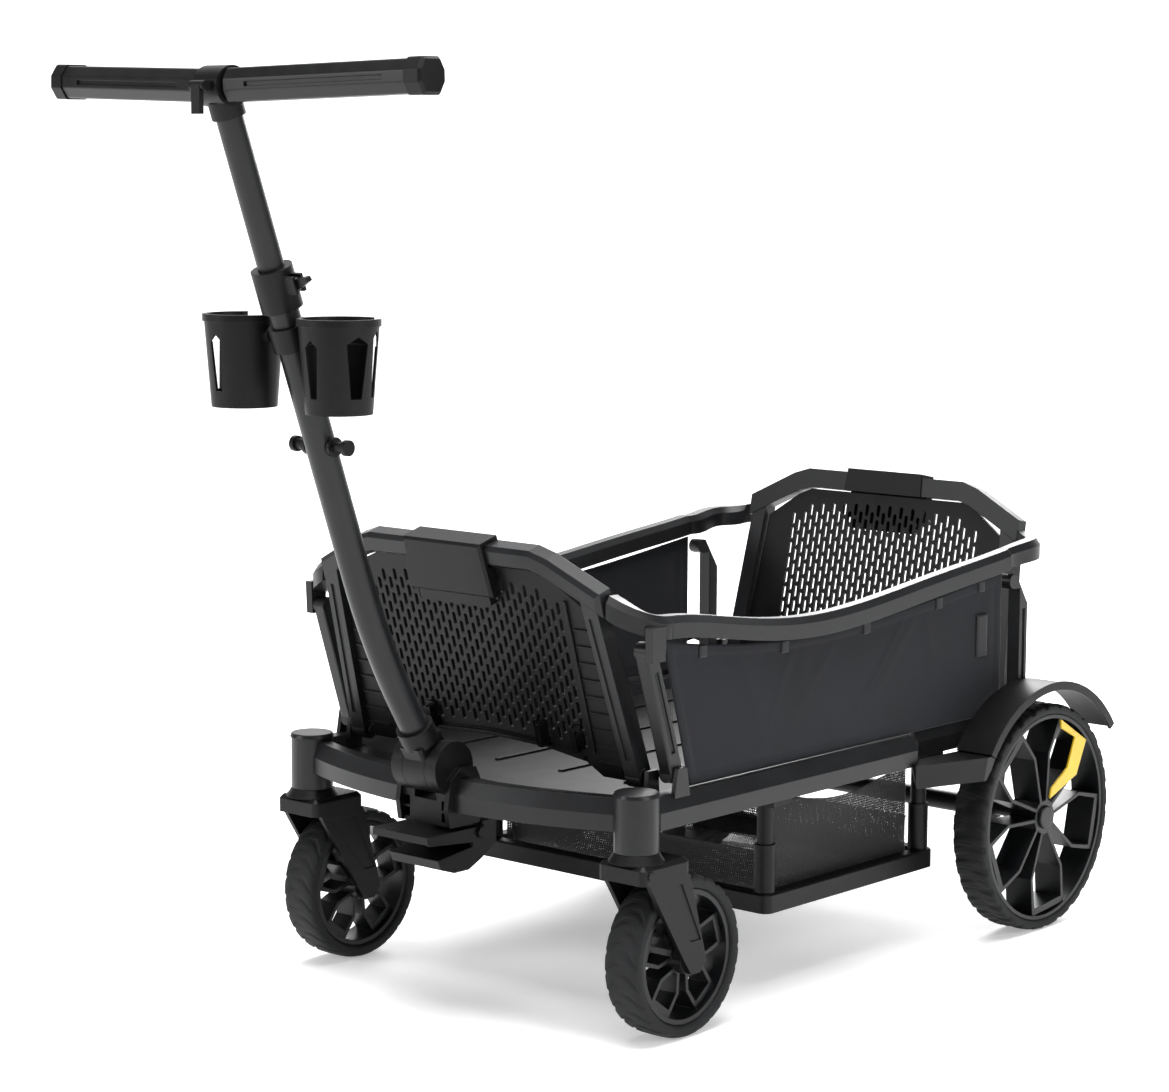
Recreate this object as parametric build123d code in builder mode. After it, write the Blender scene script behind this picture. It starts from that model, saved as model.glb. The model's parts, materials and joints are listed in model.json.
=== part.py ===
from build123d import *
import os
from math import atan2, cos, degrees, hypot, radians, sin, tan

# A children's pull wagon: a flat chassis on two castors and two large rear wheels, a tub with
# perforated folding end walls, swing-down side rails with fabric between them and the chassis,
# a mesh basket under the floor, and a telescopic pull handle with a T bar and two cup holders.
#
# Frame: +X forward towards the handle, +Y to the wagon's left, +Z up, millimetres.
# The origin is on the ground, in the middle of the wagon's length and width.

os.makedirs("parts", exist_ok=True)

# ---- overall sizes ----
OVERALL_WIDTH = 640.0        # across the outer faces of the rear wheels
WHEELBASE = 705.0            # rear axle to front axle, castors trailing
REAR_R = 150.0               # rear wheel
REAR_TYRE_W = 48.0
FRONT_R = 95.5               # front wheel
FRONT_TYRE_W = 50.0
CASTOR_TRAIL = 66.0          # king pin ahead of the front axle
KING_Y = 266.0
GRIP_Z = 1086.0              # middle of the grip bar
GRIP_BACK = 26.0             # sweep of each grip end behind the middle
GRIP_UP = 8.0                # and above it
GRIP_DEPTH = 40.0            # grip bar, front to back
GRIP_HEIGHT = 36.0
GRIP_LENGTH = 584.0          # both grips with their end caps

# ---- clearances ----
RUN = 0.06                   # radial running clearance of a pin or shaft
GAP = 1.0                    # between pieces that move past each other
PANEL_GAP = 5.0              # between the fabric and the frame round it

# ---- chassis ----
TUBE_Z = 250.0               # underside of the chassis tubes
TUBE_SIDE = 20.0             # upright face of a chassis tube
TUBE_BEVEL = 18.0            # height of the sloping faces above it
TUBE_TAPER = 27.0            # their slope from the vertical, degrees
TUBE_W = 36.0
TUBE_WALL = 2.0
TUBE_TOP = TUBE_Z + TUBE_SIDE + TUBE_BEVEL
SIDE_Y = 265.0               # centre of the side tube beside the tub
REAR_SIDE_Y = 234.0          # and inside the rear wheel
BOW_X = 820.0                # middle of the bowed front tube
BOW_END = 761.0              # its ends in the castor sleeves
SLEEVE_R = 26.0
SLEEVE_Z = 228.0
SLEEVE_TOP = 292.0
CAP_T = 5.0
KING_R = 9.0
FLOOR_Z = 268.0
FLOOR_T = 6.0
AXLE_R = 8.0
BRACKET_T = 6.0

# ---- end walls: angle of lean, hinge line, sizes along the wall ----
WALL_HINGE_Z = 300.0
FRONT_WALL_X = 719.0
FRONT_LEAN = 16.5
REAR_WALL_X = -26.0
REAR_LEAN = 11.5
WALL_HALF = 236.0            # half width over the struts at the foot
RIM_HALF = 226.0             # half width of the rim at its ends
CORNER_GAP = 4.0             # between the rim and the side rails' corner pieces
RIM_W = 26.0
RIM_T = 24.0
WALL_TOP = 277.0             # hinge line to the top of the rim, along the wall
PANEL_T = 5.0
STRUT_W = 22.0
HINGE_R = 10.0
PIN_R = 4.0
BOX_HALF = 67.0
BOX_DROP = 62.0
BOX_T = 33.0
PADDLE_TRAVEL = 6.0

# ---- swing-down sides ----
RAIL_Y = 269.0
RAIL_W = 26.0
RAIL_H = 26.0
LINK_Y = 262.0               # middle of the front strut and the rear post
LINK_T = 18.0
LINK_REACH = 48.0            # top pivot ahead of the bottom pivot, on both links
LINK_RISE = 148.0            # and above it
FRONT_LINK_X = 704.0
FRONT_LINK_Z = 307.0
REAR_LINK_X = -32.0
REAR_LINK_Z = 312.0
POST_X = -8.0                # middle of the rear post's upright bar
POST_W = 18.0
RAIL_FRONT_X = 728.0         # seams between the rail and its corner pieces
RAIL_REAR_X = 40.0
FABRIC_T = 3.0
FENDER_T = 5.0

# ---- handle ----
BARREL_X = 830.0             # pivot of the handle
BARREL_Z = 301.0
BARREL_R = 32.0
BARREL_W = 36.0              # room for the moving knuckle between the bracket's cheeks
CHEEK_T = 18.0               # round cheek on each side of it
FLANGE_T = 7.0               # plates that the front tube butts against
BEND_X = 921.0               # where the lower tube's two straight runs would meet
BEND_Z = 452.5
COLLAR_X = 1068.0
COLLAR_Z = 857.0
OUTER_R = 17.5
INNER_R = 15.0
HANDLE_TRAVEL = 150.0
INSERT = 60.0                # tube that stays inside when the handle is pulled out
PIVOT_R = 8.0
CUP_X = 1052.0
CUP_Y = 76.0
CUP_Z = 733.0
CUP_H = 104.0
CUP_R = 45.0
CUP_FOOT_R = 37.0
CUP_T = 3.0
HOOK_X = 1006.0
HOOK_Z = 690.0

# ---- basket ----
BASKET_Y = 226.0
BASKET_FRONT = 482.0
BASKET_REAR = 160.0
BASKET_Z = 98.0
BASKET_RIM_H = 24.0
BASKET_WALL = 2.0
POST_R = 13.0

STEM_X = (COLLAR_X - BEND_X) / (COLLAR_Z - BEND_Z)    # forward lean of the handle, per unit of height
BAR_X = COLLAR_X + (GRIP_Z - COLLAR_Z) * STEM_X      # middle of the grip bar
LEVER_OUT = GRIP_DEPTH / 2 + 11                      # cam lever's pivot ahead of that
REAR_X = -(BAR_X + LEVER_OUT + 5.5 - REAR_R) / 2     # rear axle in the wagon's frame
REAR_WHEEL_Y = (OVERALL_WIDTH - REAR_TYRE_W) / 2
KING_X = WHEELBASE + CASTOR_TRAIL
BRACKET_HALF = BARREL_W / 2 + CHEEK_T + FLANGE_T      # half width of the handle bracket
FENDER_R = REAR_R + 29                               # outside of the fender's arch
FENDER_IN = LINK_Y + LINK_T / 2 + 2.5                # its inner edge, clear of the rear post
FENDER_OUT = OVERALL_WIDTH / 2 + 6


def fore(distance):
    """X of a point that lies this far ahead of the rear axle."""
    return REAR_X + distance


def at(x, y, z):
    """Point given by its distance ahead of the rear axle, its Y and its height."""
    return (fore(x), y, z)


def finish(piece, name):
    """Label a finished piece and write its STEP file."""
    piece.part.label = name
    export_step(piece.part, f"parts/{name}.step")


def finish_pair(piece, name):
    """Write the left piece, and its mirror image as the right piece."""
    finish(piece, f"{name}_left")
    with BuildPart() as twin:
        mirror(piece.part, about=Plane.XZ)
    finish(twin, f"{name}_right")


def upright(y):
    """Plane at this Y whose sketch axes are X and Z; extruding goes towards -Y."""
    return Plane.XZ.offset(-y)


def outline(plane, points, corner=0.0):
    """Closed polygon on a plane, with its corners rounded when a radius is given."""
    with BuildSketch(plane) as shape:
        with BuildLine():
            Polyline(*points, close=True)
        make_face()
        if corner:
            fillet(shape.vertices(), corner)
    return shape.sketch


def strip(points, width):
    """Outline of a strip of constant width along a polyline, mitred at its turns."""
    path = [Vector(x, y) for x, y in points]
    runs = [(b - a).normalized() for a, b in zip(path, path[1:])]
    left, right = [], []
    for i, point in enumerate(path):
        before, after = runs[max(i - 1, 0)], runs[min(i, len(runs) - 1)]
        along = (before + after).normalized()
        across = Vector(-along.Y, along.X)
        reach = width / 2 / across.dot(Vector(-before.Y, before.X))
        left.append(point + across * reach)
        right.append(point - across * reach)
    return [(v.X, v.Y) for v in left + right[::-1]]


def disc(plane, radius, bore=0.0):
    """Circle on a plane, with a concentric hole when a bore is given."""
    with BuildSketch(plane) as shape:
        Circle(radius)
        if bore:
            Circle(bore, mode=Mode.SUBTRACT)
    return shape.sketch


def across_y(x, y, z):
    """Plane through a point given from the rear axle, facing +Y."""
    return Plane(origin=at(x, y, z), x_dir=(1, 0, 0), z_dir=(0, 1, 0))


def beam(start, end, width, thick):
    """Rounded bar between two points: its width lies across the Y axis, its thickness along it."""
    run = Vector(*end) - Vector(*start)
    with BuildSketch(Plane(origin=start, x_dir=(0, 1, 0), z_dir=run)) as section:
        RectangleRounded(thick, width, 3)
    return section.sketch, run.length


def tube_body(path, wall, mode):
    """Chassis tube along a plan path, inset by wall: upright faces below, leaning faces above."""
    inset = TUBE_BEVEL * tan(radians(TUBE_TAPER))
    low, shoulder_z, top = TUBE_Z + wall, TUBE_Z + TUBE_SIDE, TUBE_TOP - wall
    wide = strip(path, TUBE_W - 2 * wall)
    extrude(outline(Plane.XY.offset(low), wide), amount=shoulder_z - low, dir=(0, 0, 1), mode=mode)
    crest = strip(path, TUBE_W - 2 * inset - 2 * wall)
    ends = [outline(Plane.XY.offset(shoulder_z), wide), outline(Plane.XY.offset(top), crest)]
    loft(ends, ruled=True, mode=mode)


# ---------------------------------------------------------------- chassis
with BuildPart() as side_tube:
    path = [at(KING_X - SLEEVE_R + 4, SIDE_Y, 0)[:2], at(250, SIDE_Y, 0)[:2]]
    path += [at(205, REAR_SIDE_Y, 0)[:2], at(-70, REAR_SIDE_Y, 0)[:2]]
    tube_body(path, 0, Mode.ADD)
    with Locations(at(KING_X, KING_Y, TUBE_Z)):
        Cylinder(SLEEVE_R + 0.01, 200, mode=Mode.SUBTRACT)
with BuildPart() as open_tube:
    add(side_tube.part)
    bore_path = [at(KING_X, SIDE_Y, 0)[:2]] + path[1:3] + [at(-68, REAR_SIDE_Y, 0)[:2]]
    tube_body(bore_path, TUBE_WALL, Mode.SUBTRACT)
with BuildPart() as side_tubes:
    add(open_tube.part)
    mirror(open_tube.part, about=Plane.XZ)
finish(side_tubes, "side_tubes")

with BuildPart() as front_bumper:
    for level, height, slope in ((TUBE_Z, TUBE_SIDE, 0), (TUBE_Z + TUBE_SIDE, TUBE_BEVEL, TUBE_TAPER)):
        with BuildSketch(Plane.XY.offset(level)) as bow:
            with BuildLine():
                half = TUBE_W / 2
                outer = ThreePointArc(at(BOW_END + half, -KING_Y, 0)[:2], (fore(BOW_X) + half, 0),
                                      at(BOW_END + half, KING_Y, 0)[:2])
                inner = ThreePointArc(at(BOW_END - half, KING_Y, 0)[:2], (fore(BOW_X) - half, 0),
                                      at(BOW_END - half, -KING_Y, 0)[:2])
                Line(outer @ 1, inner @ 0)
                Line(inner @ 1, outer @ 0)
            make_face()
        extrude(bow.sketch, amount=height, taper=slope)
    for side in (-1, 1):
        with Locations(at(KING_X, side * KING_Y, TUBE_Z)):
            Cylinder(SLEEVE_R + 0.01, 200, mode=Mode.SUBTRACT)
        with Locations(at(KING_X, side * (KING_Y + 50), TUBE_Z)):
            Box(200, 100, 200, mode=Mode.SUBTRACT)
    with Locations(at(BOW_X, 0, TUBE_Z)):
        Box(120, 2 * BRACKET_HALF, 200, mode=Mode.SUBTRACT)
    add(side_tube.part, mode=Mode.SUBTRACT)
    mirror(side_tube.part, about=Plane.XZ, mode=Mode.SUBTRACT)
finish(front_bumper, "front_bumper")

with BuildPart() as cross_tubes:
    for middle, reach in ((-56.0, REAR_SIDE_Y - TUBE_W / 2), (690.0, SIDE_Y - TUBE_W / 2)):
        with Locations(at(middle, 0, TUBE_Z + 8)):
            Box(28, 2 * reach, 16)
            Box(28 - 2 * TUBE_WALL, 2 * reach, 16 - 2 * TUBE_WALL, mode=Mode.SUBTRACT)
finish(cross_tubes, "cross_tubes")

with BuildPart() as castor_sleeves:
    for side in (-1, 1):
        foot = Plane(at(KING_X, side * KING_Y, SLEEVE_Z))
        extrude(disc(foot, SLEEVE_R, KING_R + RUN), amount=SLEEVE_TOP - SLEEVE_Z)
        cap = Plane(at(KING_X, side * KING_Y, SLEEVE_TOP))
        extrude(disc(cap, SLEEVE_R + 1.5), amount=CAP_T, taper=20)
    fillet(castor_sleeves.edges().filter_by(GeomType.CIRCLE).group_by(Axis.Z)[-1], 1.5)
finish(castor_sleeves, "castor_sleeves")

with BuildPart() as floor_panel:
    inside = SIDE_Y - TUBE_W / 2 - GAP
    rear_inside = REAR_SIDE_Y - TUBE_W / 2 - GAP
    corners = [(-36, rear_inside), (213, rear_inside), (258, inside), (747, inside), (757, 200)]
    plan = [at(x, y, 0)[:2] for x, y in corners]
    plan += [at(x, -y, 0)[:2] for x, y in reversed(corners)]
    extrude(outline(Plane.XY.offset(FLOOR_Z), plan), amount=FLOOR_T)
    with Locations(at(352, 0, FLOOR_Z + FLOOR_T)):
        with GridLocations(0, 104, 1, 4):
            Box(620, 6, 5)
    for side in (-1, 1):
        with Locations(at(FRONT_WALL_X, side * inside, FLOOR_Z)):
            Box(32, 20, 40, mode=Mode.SUBTRACT)
finish(floor_panel, "floor_panel")

with BuildPart() as rear_axle:
    half_axle = OVERALL_WIDTH / 2 - 12
    extrude(disc(across_y(0, 0, REAR_R), AXLE_R), amount=half_axle, both=True)
    extrude(disc(across_y(0, 0, REAR_R), AXLE_R + 5), amount=REAR_SIDE_Y - 4, both=True)
    for side in (-1, 1):
        inner_y = side * REAR_SIDE_Y + BRACKET_T / 2
        hanger = [(fore(-34), TUBE_Z), (fore(34), TUBE_Z), (fore(16), REAR_R - 14), (fore(-16), REAR_R - 14)]
        extrude(outline(upright(inner_y), hanger), amount=BRACKET_T)
        extrude(disc(across_y(14, side * REAR_SIDE_Y, 207), 9), amount=side * 16)
finish(rear_axle, "rear_axle")

with BuildPart() as fender:
    with BuildSketch(upright(FENDER_OUT)) as arch:
        with BuildLine():
            centre = (fore(0), REAR_R)
            over = CenterArc(centre, FENDER_R, 36, 108)
            under = CenterArc(centre, FENDER_R - FENDER_T, 36, 108)
            Line(over @ 0, under @ 0)
            Line(over @ 1, under @ 1)
        make_face()
    extrude(amount=FENDER_OUT - FENDER_IN)
    with BuildSketch(upright(FENDER_OUT + 3)) as lip:
        with BuildLine():
            over = CenterArc(centre, FENDER_R + 2, 36, 108)
            under = CenterArc(centre, FENDER_R - FENDER_T - 4, 36, 108)
            Line(over @ 0, under @ 0)
            Line(over @ 1, under @ 1)
        make_face()
    extrude(amount=4)
    flare = [(132, FENDER_OUT), (150, FENDER_OUT), (256, SIDE_Y + TUBE_W / 2 + 6),
             (256, SIDE_Y + TUBE_W / 2), (236, FENDER_IN - 8), (132, FENDER_IN)]
    flare = [at(x, y, 0)[:2] for x, y in flare]
    extrude(outline(Plane.XY.offset(TUBE_Z + 3), flare), amount=TUBE_TOP - TUBE_Z - 6, taper=12)
    with Locations(at(0, KING_Y, REAR_R)):
        Cylinder(REAR_R + 10, 200, rotation=(90, 0, 0), mode=Mode.SUBTRACT)
    add(side_tube.part, mode=Mode.SUBTRACT)
with BuildPart() as fenders:
    add(fender.part)
    mirror(fender.part, about=Plane.XZ)
finish(fenders, "fenders")

# ---------------------------------------------------------------- basket under the floor
with BuildPart() as basket_posts:
    for x in (BASKET_REAR, BASKET_FRONT):
        for side in (-1, 1):
            post = Plane(at(x, side * BASKET_Y, BASKET_Z + BASKET_RIM_H))
            extrude(disc(post, POST_R), amount=60)
            upper = Plane(at(x, side * BASKET_Y, BASKET_Z + BASKET_RIM_H + 60))
            extrude(disc(upper, POST_R - 3), amount=TUBE_Z - BASKET_Z - BASKET_RIM_H - 60)
            with Locations(at(x, side * (BASKET_Y + 8), TUBE_Z - 9)):
                Box(34, 36, 18)
finish(basket_posts, "basket_posts")

with BuildPart() as basket_rim:
    length = BASKET_FRONT - BASKET_REAR + 2 * POST_R + 6
    width = 2 * BASKET_Y + 2 * POST_R + 6
    with BuildSketch(Plane(at((BASKET_FRONT + BASKET_REAR) / 2, 0, BASKET_Z))):
        RectangleRounded(length, width, 12)
        RectangleRounded(length - 2 * POST_R - 14, width - 2 * POST_R - 14, 4, mode=Mode.SUBTRACT)
    extrude(amount=BASKET_RIM_H)
    chamfer(basket_rim.edges().group_by(Axis.Z)[-1], 2)
finish(basket_rim, "basket_rim")

with BuildPart() as basket_mesh:
    floor_z = BASKET_Z + 6
    mesh_plan = (length - 2 * POST_R - 14.2, width - 2 * POST_R - 14.2)
    with BuildSketch(Plane(at((BASKET_FRONT + BASKET_REAR) / 2, 0, floor_z))):
        RectangleRounded(*mesh_plan, 4)
    extrude(amount=BASKET_WALL)
    for side in (-1, 1):
        edge = side * (mesh_plan[1] / 2 - BASKET_WALL / 2)
        with Locations(at((BASKET_FRONT + BASKET_REAR) / 2, edge, (floor_z + TUBE_Z) / 2 - 10)):
            Box(BASKET_FRONT - BASKET_REAR - 3 * POST_R, BASKET_WALL, TUBE_Z - floor_z - 20)
    for x in (BASKET_REAR + POST_R - 1, BASKET_FRONT - POST_R + 1):
        with Locations(at(x, 0, floor_z + 30)):
            Box(BASKET_WALL, mesh_plan[1] - 8, 60)
finish(basket_mesh, "basket_mesh")


# ---------------------------------------------------------------- end walls
def wall_plane(hinge_x, lean, facing):
    """Plane in an end wall: +X of the sketch across the wagon, +Y up the wall, +Z outwards."""
    out = (facing * cos(radians(lean)), 0, -sin(radians(lean)))
    return Plane(origin=at(hinge_x, 0, WALL_HINGE_Z), x_dir=(0, facing, 0), z_dir=out)


def wall_frame(plane):
    """Rim bar over two struts, with a hinge boss at each foot."""
    rim_v = WALL_TOP - RIM_W / 2
    right = [(128, rim_v), (150, rim_v - 7), (RIM_HALF + 10, rim_v - 51)]
    path = [(-u, v) for u, v in reversed(right)] + right
    with BuildPart() as frame:
        extrude(outline(plane.offset(-RIM_T / 2), strip(path, RIM_W)), amount=RIM_T)
        for side in (-1, 1):
            with Locations(plane.location):
                with Locations((side * (RIM_HALF + 30), rim_v - 50, 0)):
                    Box(60, 100, 100, mode=Mode.SUBTRACT)
        chamfer(frame.faces().sort_by(Axis(plane.origin, plane.z_dir))[-1].edges(), 5)
        for side in (-1, 1):
            foot = WALL_HALF - STRUT_W / 2
            strut = [(side * foot, 0), (side * (foot - 16), rim_v - 40), (side * (foot - 16), rim_v - 32)]
            extrude(outline(plane.offset(-STRUT_W / 2), strip(strut, STRUT_W)), amount=STRUT_W)
            groove = [(side * (foot - 1), 26), (side * (foot - 15), rim_v - 62)]
            extrude(outline(plane.offset(STRUT_W / 2 - 2), strip(groove, 8)), amount=3, mode=Mode.SUBTRACT)
            boss = Plane(origin=plane.from_local_coords((side * foot, 0, 0)), z_dir=(0, 1, 0))
            extrude(disc(boss, HINGE_R + 2), amount=STRUT_W / 2, both=True)
            extrude(disc(boss, PIN_R + RUN), amount=STRUT_W, both=True, mode=Mode.SUBTRACT)
    return frame


def wall_panel(plane, field_half, ribbed):
    """Perforated sheet between the struts, with an arched foot and a raised bead round the holes."""
    rim_v = WALL_TOP - RIM_W
    edge = WALL_HALF - STRUT_W - 0.5
    right = [(edge - 1, 16), (WALL_HALF - STRUT_W - 10, 14), (WALL_HALF - STRUT_W - 10, -6), (172, -6)]
    right += [(150, 10), (90, 20), (0, 24)]
    foot = right + [(-u, v) for u, v in reversed(right[:-1])]
    top = [(-edge + 17, rim_v - 44), (-150, rim_v - 11), (-128, rim_v - 1.5)]
    top += [(-u, v) for u, v in reversed(top)]
    pitch_u, pitch_v = 9.6, 21.0
    slot_w, slot_l = 5.4, 16.5
    columns = int(2 * field_half / pitch_u)
    with BuildPart() as panel:
        extrude(outline(plane.offset(-PANEL_T / 2), foot + top), amount=PANEL_T)
        with BuildSketch(plane.offset(-PANEL_T)) as slots:
            for column in range(-(columns // 2), columns // 2 + 1):
                u = column * pitch_u
                low = 40 - 12 * (u / field_half) ** 2 + (pitch_v / 2 if column % 2 else 0)
                ceiling = WALL_TOP - RIM_W - 12 - max(0.0, abs(u) - 118) * 0.62
                rows = [low + slot_l / 2 + row * pitch_v for row in range(12)]
                rows = [v for v in rows if v + slot_l / 2 < ceiling]
                with Locations(*[(u, v) for v in rows]):
                    SlotOverall(slot_l, slot_w, rotation=90)
        extrude(slots.sketch, amount=2 * PANEL_T, mode=Mode.SUBTRACT)
        for side in (-1, 1):
            bead = [(side * (field_half + 7), 24), (side * (field_half + 7), rim_v - 34)]
            extrude(outline(plane.offset(PANEL_T / 2), strip(bead, 4)), amount=3)
            if ribbed:
                for rib in range(9):
                    v = 14 + rib * 21
                    bar = [(side * (field_half + 12), v), (side * (edge - 2 - v * 0.085), v)]
                    extrude(outline(plane.offset(PANEL_T / 2), strip(bar, 2.4)), amount=2.5)
        sill = [(-150, 15), (-90, 25), (0, 29), (90, 25), (150, 15)]
        extrude(outline(plane.offset(PANEL_T / 2), strip(sill, 4)), amount=4)
    return panel


def release_box(plane):
    """Cover over the middle of the rim; below it, on the outer side only, room for the paddle."""
    low, high = WALL_TOP - BOX_DROP, WALL_TOP + 5
    face = RIM_T / 2 + 7
    shape = [(-BOX_HALF, low), (BOX_HALF, low), (BOX_HALF - 5, high), (-BOX_HALF + 5, high)]
    with BuildPart() as box:
        extrude(outline(plane.offset(face - BOX_T), shape), amount=BOX_T)
        chamfer(box.faces().sort_by(Axis(plane.origin, plane.z_dir))[-1].edges(), 3)
        add(rim_block(plane), mode=Mode.SUBTRACT)
        for half, reach in ((BOX_HALF + 1, PANEL_T / 2 + 0.6), (BOX_HALF - 8, face - 4)):
            below = [(-half, low - 1), (half, low - 1),
                     (half, WALL_TOP - RIM_W - 0.5), (-half, WALL_TOP - RIM_W - 0.5)]
            extrude(outline(plane.offset(-BOX_T), below), amount=BOX_T + reach, mode=Mode.SUBTRACT)
    return box


def rim_block(plane):
    """The straight middle of the rim and the panel under it, as the release box is cut to fit them."""
    with BuildPart() as block:
        body = [(-BOX_HALF - 9, WALL_TOP - RIM_W), (BOX_HALF + 9, WALL_TOP - RIM_W),
                (BOX_HALF + 9, WALL_TOP), (-BOX_HALF - 9, WALL_TOP)]
        extrude(outline(plane.offset(-RIM_T / 2), body), amount=RIM_T)
        sheet = [(-BOX_HALF - 9, 0), (BOX_HALF + 9, 0), (BOX_HALF + 9, WALL_TOP), (-BOX_HALF - 9, WALL_TOP)]
        extrude(outline(plane.offset(-PANEL_T / 2), sheet), amount=PANEL_T)
    return block.part


def release_paddle(plane):
    """Finger paddle that slides up into the release box."""
    low = WALL_TOP - BOX_DROP - 15
    high = WALL_TOP - RIM_W - PADDLE_TRAVEL - 2
    half = BOX_HALF - 10
    shape = [(-half, low + 3), (-half + 6, low), (half - 6, low), (half, low + 3)]
    shape += [(half, high), (-half, high)]
    with BuildPart() as paddle:
        extrude(outline(plane.offset(PANEL_T / 2 + 1.2), shape), amount=9.5)
    return paddle


front_plane = wall_plane(FRONT_WALL_X, FRONT_LEAN, 1)
rear_plane = wall_plane(REAR_WALL_X, REAR_LEAN, -1)
for end, plane, field, ribs in (("front", front_plane, 160.0, True), ("rear", rear_plane, 160.0, False)):
    finish(wall_frame(plane), f"{end}_wall_frame")
    finish(wall_panel(plane, field, ribs), f"{end}_wall_panel")
    finish(release_box(plane), f"{end}_release_box")
    finish(release_paddle(plane), f"{end}_release_paddle")

with BuildPart() as accessory_clips:
    for u, v in ((-88.0, 42.0), (91.0, 42.0), (146.0, 42.0)):
        clip = [(u - 7, v - 14), (u + 7, v - 14), (u + 7, v + 16), (u - 7, v + 16)]
        extrude(outline(front_plane.offset(PANEL_T / 2), clip), amount=4)
        nose = [(u - 4, v - 16), (u + 4, v - 16), (u + 4, v + 12), (u - 4, v + 12)]
        extrude(outline(front_plane.offset(PANEL_T / 2 + 4), nose), amount=8)
finish(accessory_clips, "accessory_clips")

with BuildPart() as wall_brackets:
    for x in (FRONT_WALL_X, REAR_WALL_X):
        tube_face = (SIDE_Y if x > 200 else REAR_SIDE_Y) - TUBE_W / 2
        for side in (-1, 1):
            plate = [(fore(x) - 13, TUBE_Z + 2), (fore(x) + 13, TUBE_Z + 2),
                     (fore(x) + 9, WALL_HINGE_Z + 11), (fore(x) - 9, WALL_HINGE_Z + 11)]
            if x > 200:
                top_y = side * tube_face + (0 if side > 0 else BRACKET_T)
                extrude(outline(upright(top_y), plate), amount=BRACKET_T)
            else:
                foot_y = WALL_HALF + 1.5 + BRACKET_T
                top_y = side * foot_y + (0 if side > 0 else BRACKET_T)
                plate = [(px, max(pz, TUBE_Z + TUBE_SIDE + 8)) for px, pz in plate]
                extrude(outline(upright(top_y), plate), amount=BRACKET_T)
            pin_start = WALL_HALF - STRUT_W - 3
            pin_end = tube_face if x > 200 else WALL_HALF + 1.5 + BRACKET_T
            pin = disc(across_y(x, side * pin_start, WALL_HINGE_Z), PIN_R)
            extrude(pin, amount=side * (pin_end - pin_start))
            extrude(disc(across_y(x, side * (pin_start + 2), WALL_HINGE_Z), PIN_R + 3), amount=-side * 4)
    add(side_tube.part, mode=Mode.SUBTRACT)
    mirror(side_tube.part, about=Plane.XZ, mode=Mode.SUBTRACT)

# ---------------------------------------------------------------- swing-down sides
LINK_TOP = (FRONT_LINK_X + LINK_REACH, FRONT_LINK_Z + LINK_RISE)
POST_TOP = (REAR_LINK_X + LINK_REACH, REAR_LINK_Z + LINK_RISE)


def rail_section(x, y, z, heading, pitch=0.0):
    """Rail cross-section, bevelled along its upper edges, on a plane facing along the rail."""
    ahead = (cos(radians(heading)) * cos(radians(pitch)), sin(radians(heading)) * cos(radians(pitch)),
             sin(radians(pitch)))
    side = (sin(radians(heading)), -cos(radians(heading)), 0)
    plane = Plane(origin=at(x, y, z), x_dir=side, z_dir=ahead)
    half, low, bevel = RAIL_W / 2, -RAIL_H / 2, RAIL_H / 2 - 8
    shape = [(-half, low), (half, low), (half, bevel), (half - 6, RAIL_H / 2), (6 - half, RAIL_H / 2),
             (-half, bevel)]
    return outline(plane, [(u, v if plane.y_dir.Z > 0 else -v) for u, v in shape])


with BuildPart() as side_rail:
    stations = [(RAIL_FRONT_X, 482, -5), (600, 466, -7), (455, 453, -1), (300, 463, 7), (160, 479, 6.5)]
    stations += [(RAIL_REAR_X, 492, 6)]
    loft([rail_section(x, RAIL_Y, z, 180, pitch) for x, z, pitch in stations])
    lug_x, lug_z = fore(LINK_TOP[0]), LINK_TOP[1]
    lug = [(lug_x - 11, lug_z - 10), (lug_x + 11, lug_z - 10)]
    lug += [(lug_x + 13, lug_z + 30), (lug_x - 13, lug_z + 30)]
    lug_t = RAIL_Y + RAIL_W / 2 - LINK_Y - LINK_T / 2 - 0.5
    extrude(outline(upright(RAIL_Y + RAIL_W / 2), lug), amount=lug_t)
    pin = disc(across_y(LINK_TOP[0], RAIL_Y + RAIL_W / 2 - 1, LINK_TOP[1]), PIN_R)
    extrude(pin, amount=-(lug_t + LINK_T))
    loft([rail_section(RAIL_FRONT_X + 0.4, RAIL_Y, 482, 0, 5), rail_section(750, 264, 486, -28, 8),
          rail_section(766, 247, 496, -68, 16), rail_section(772, RIM_HALF + CORNER_GAP, 506, -90)])
    loft([rail_section(RAIL_REAR_X - 0.4, RAIL_Y, 492, 180, 6), rail_section(-4, 267, 497, 180, 3),
          rail_section(-34, 262, 499, 215, 2), rail_section(-54, 243, 500, 252, 6),
          rail_section(-61, RIM_HALF + CORNER_GAP, 503, 270)])
finish_pair(side_rail, "side_rail")

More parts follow.
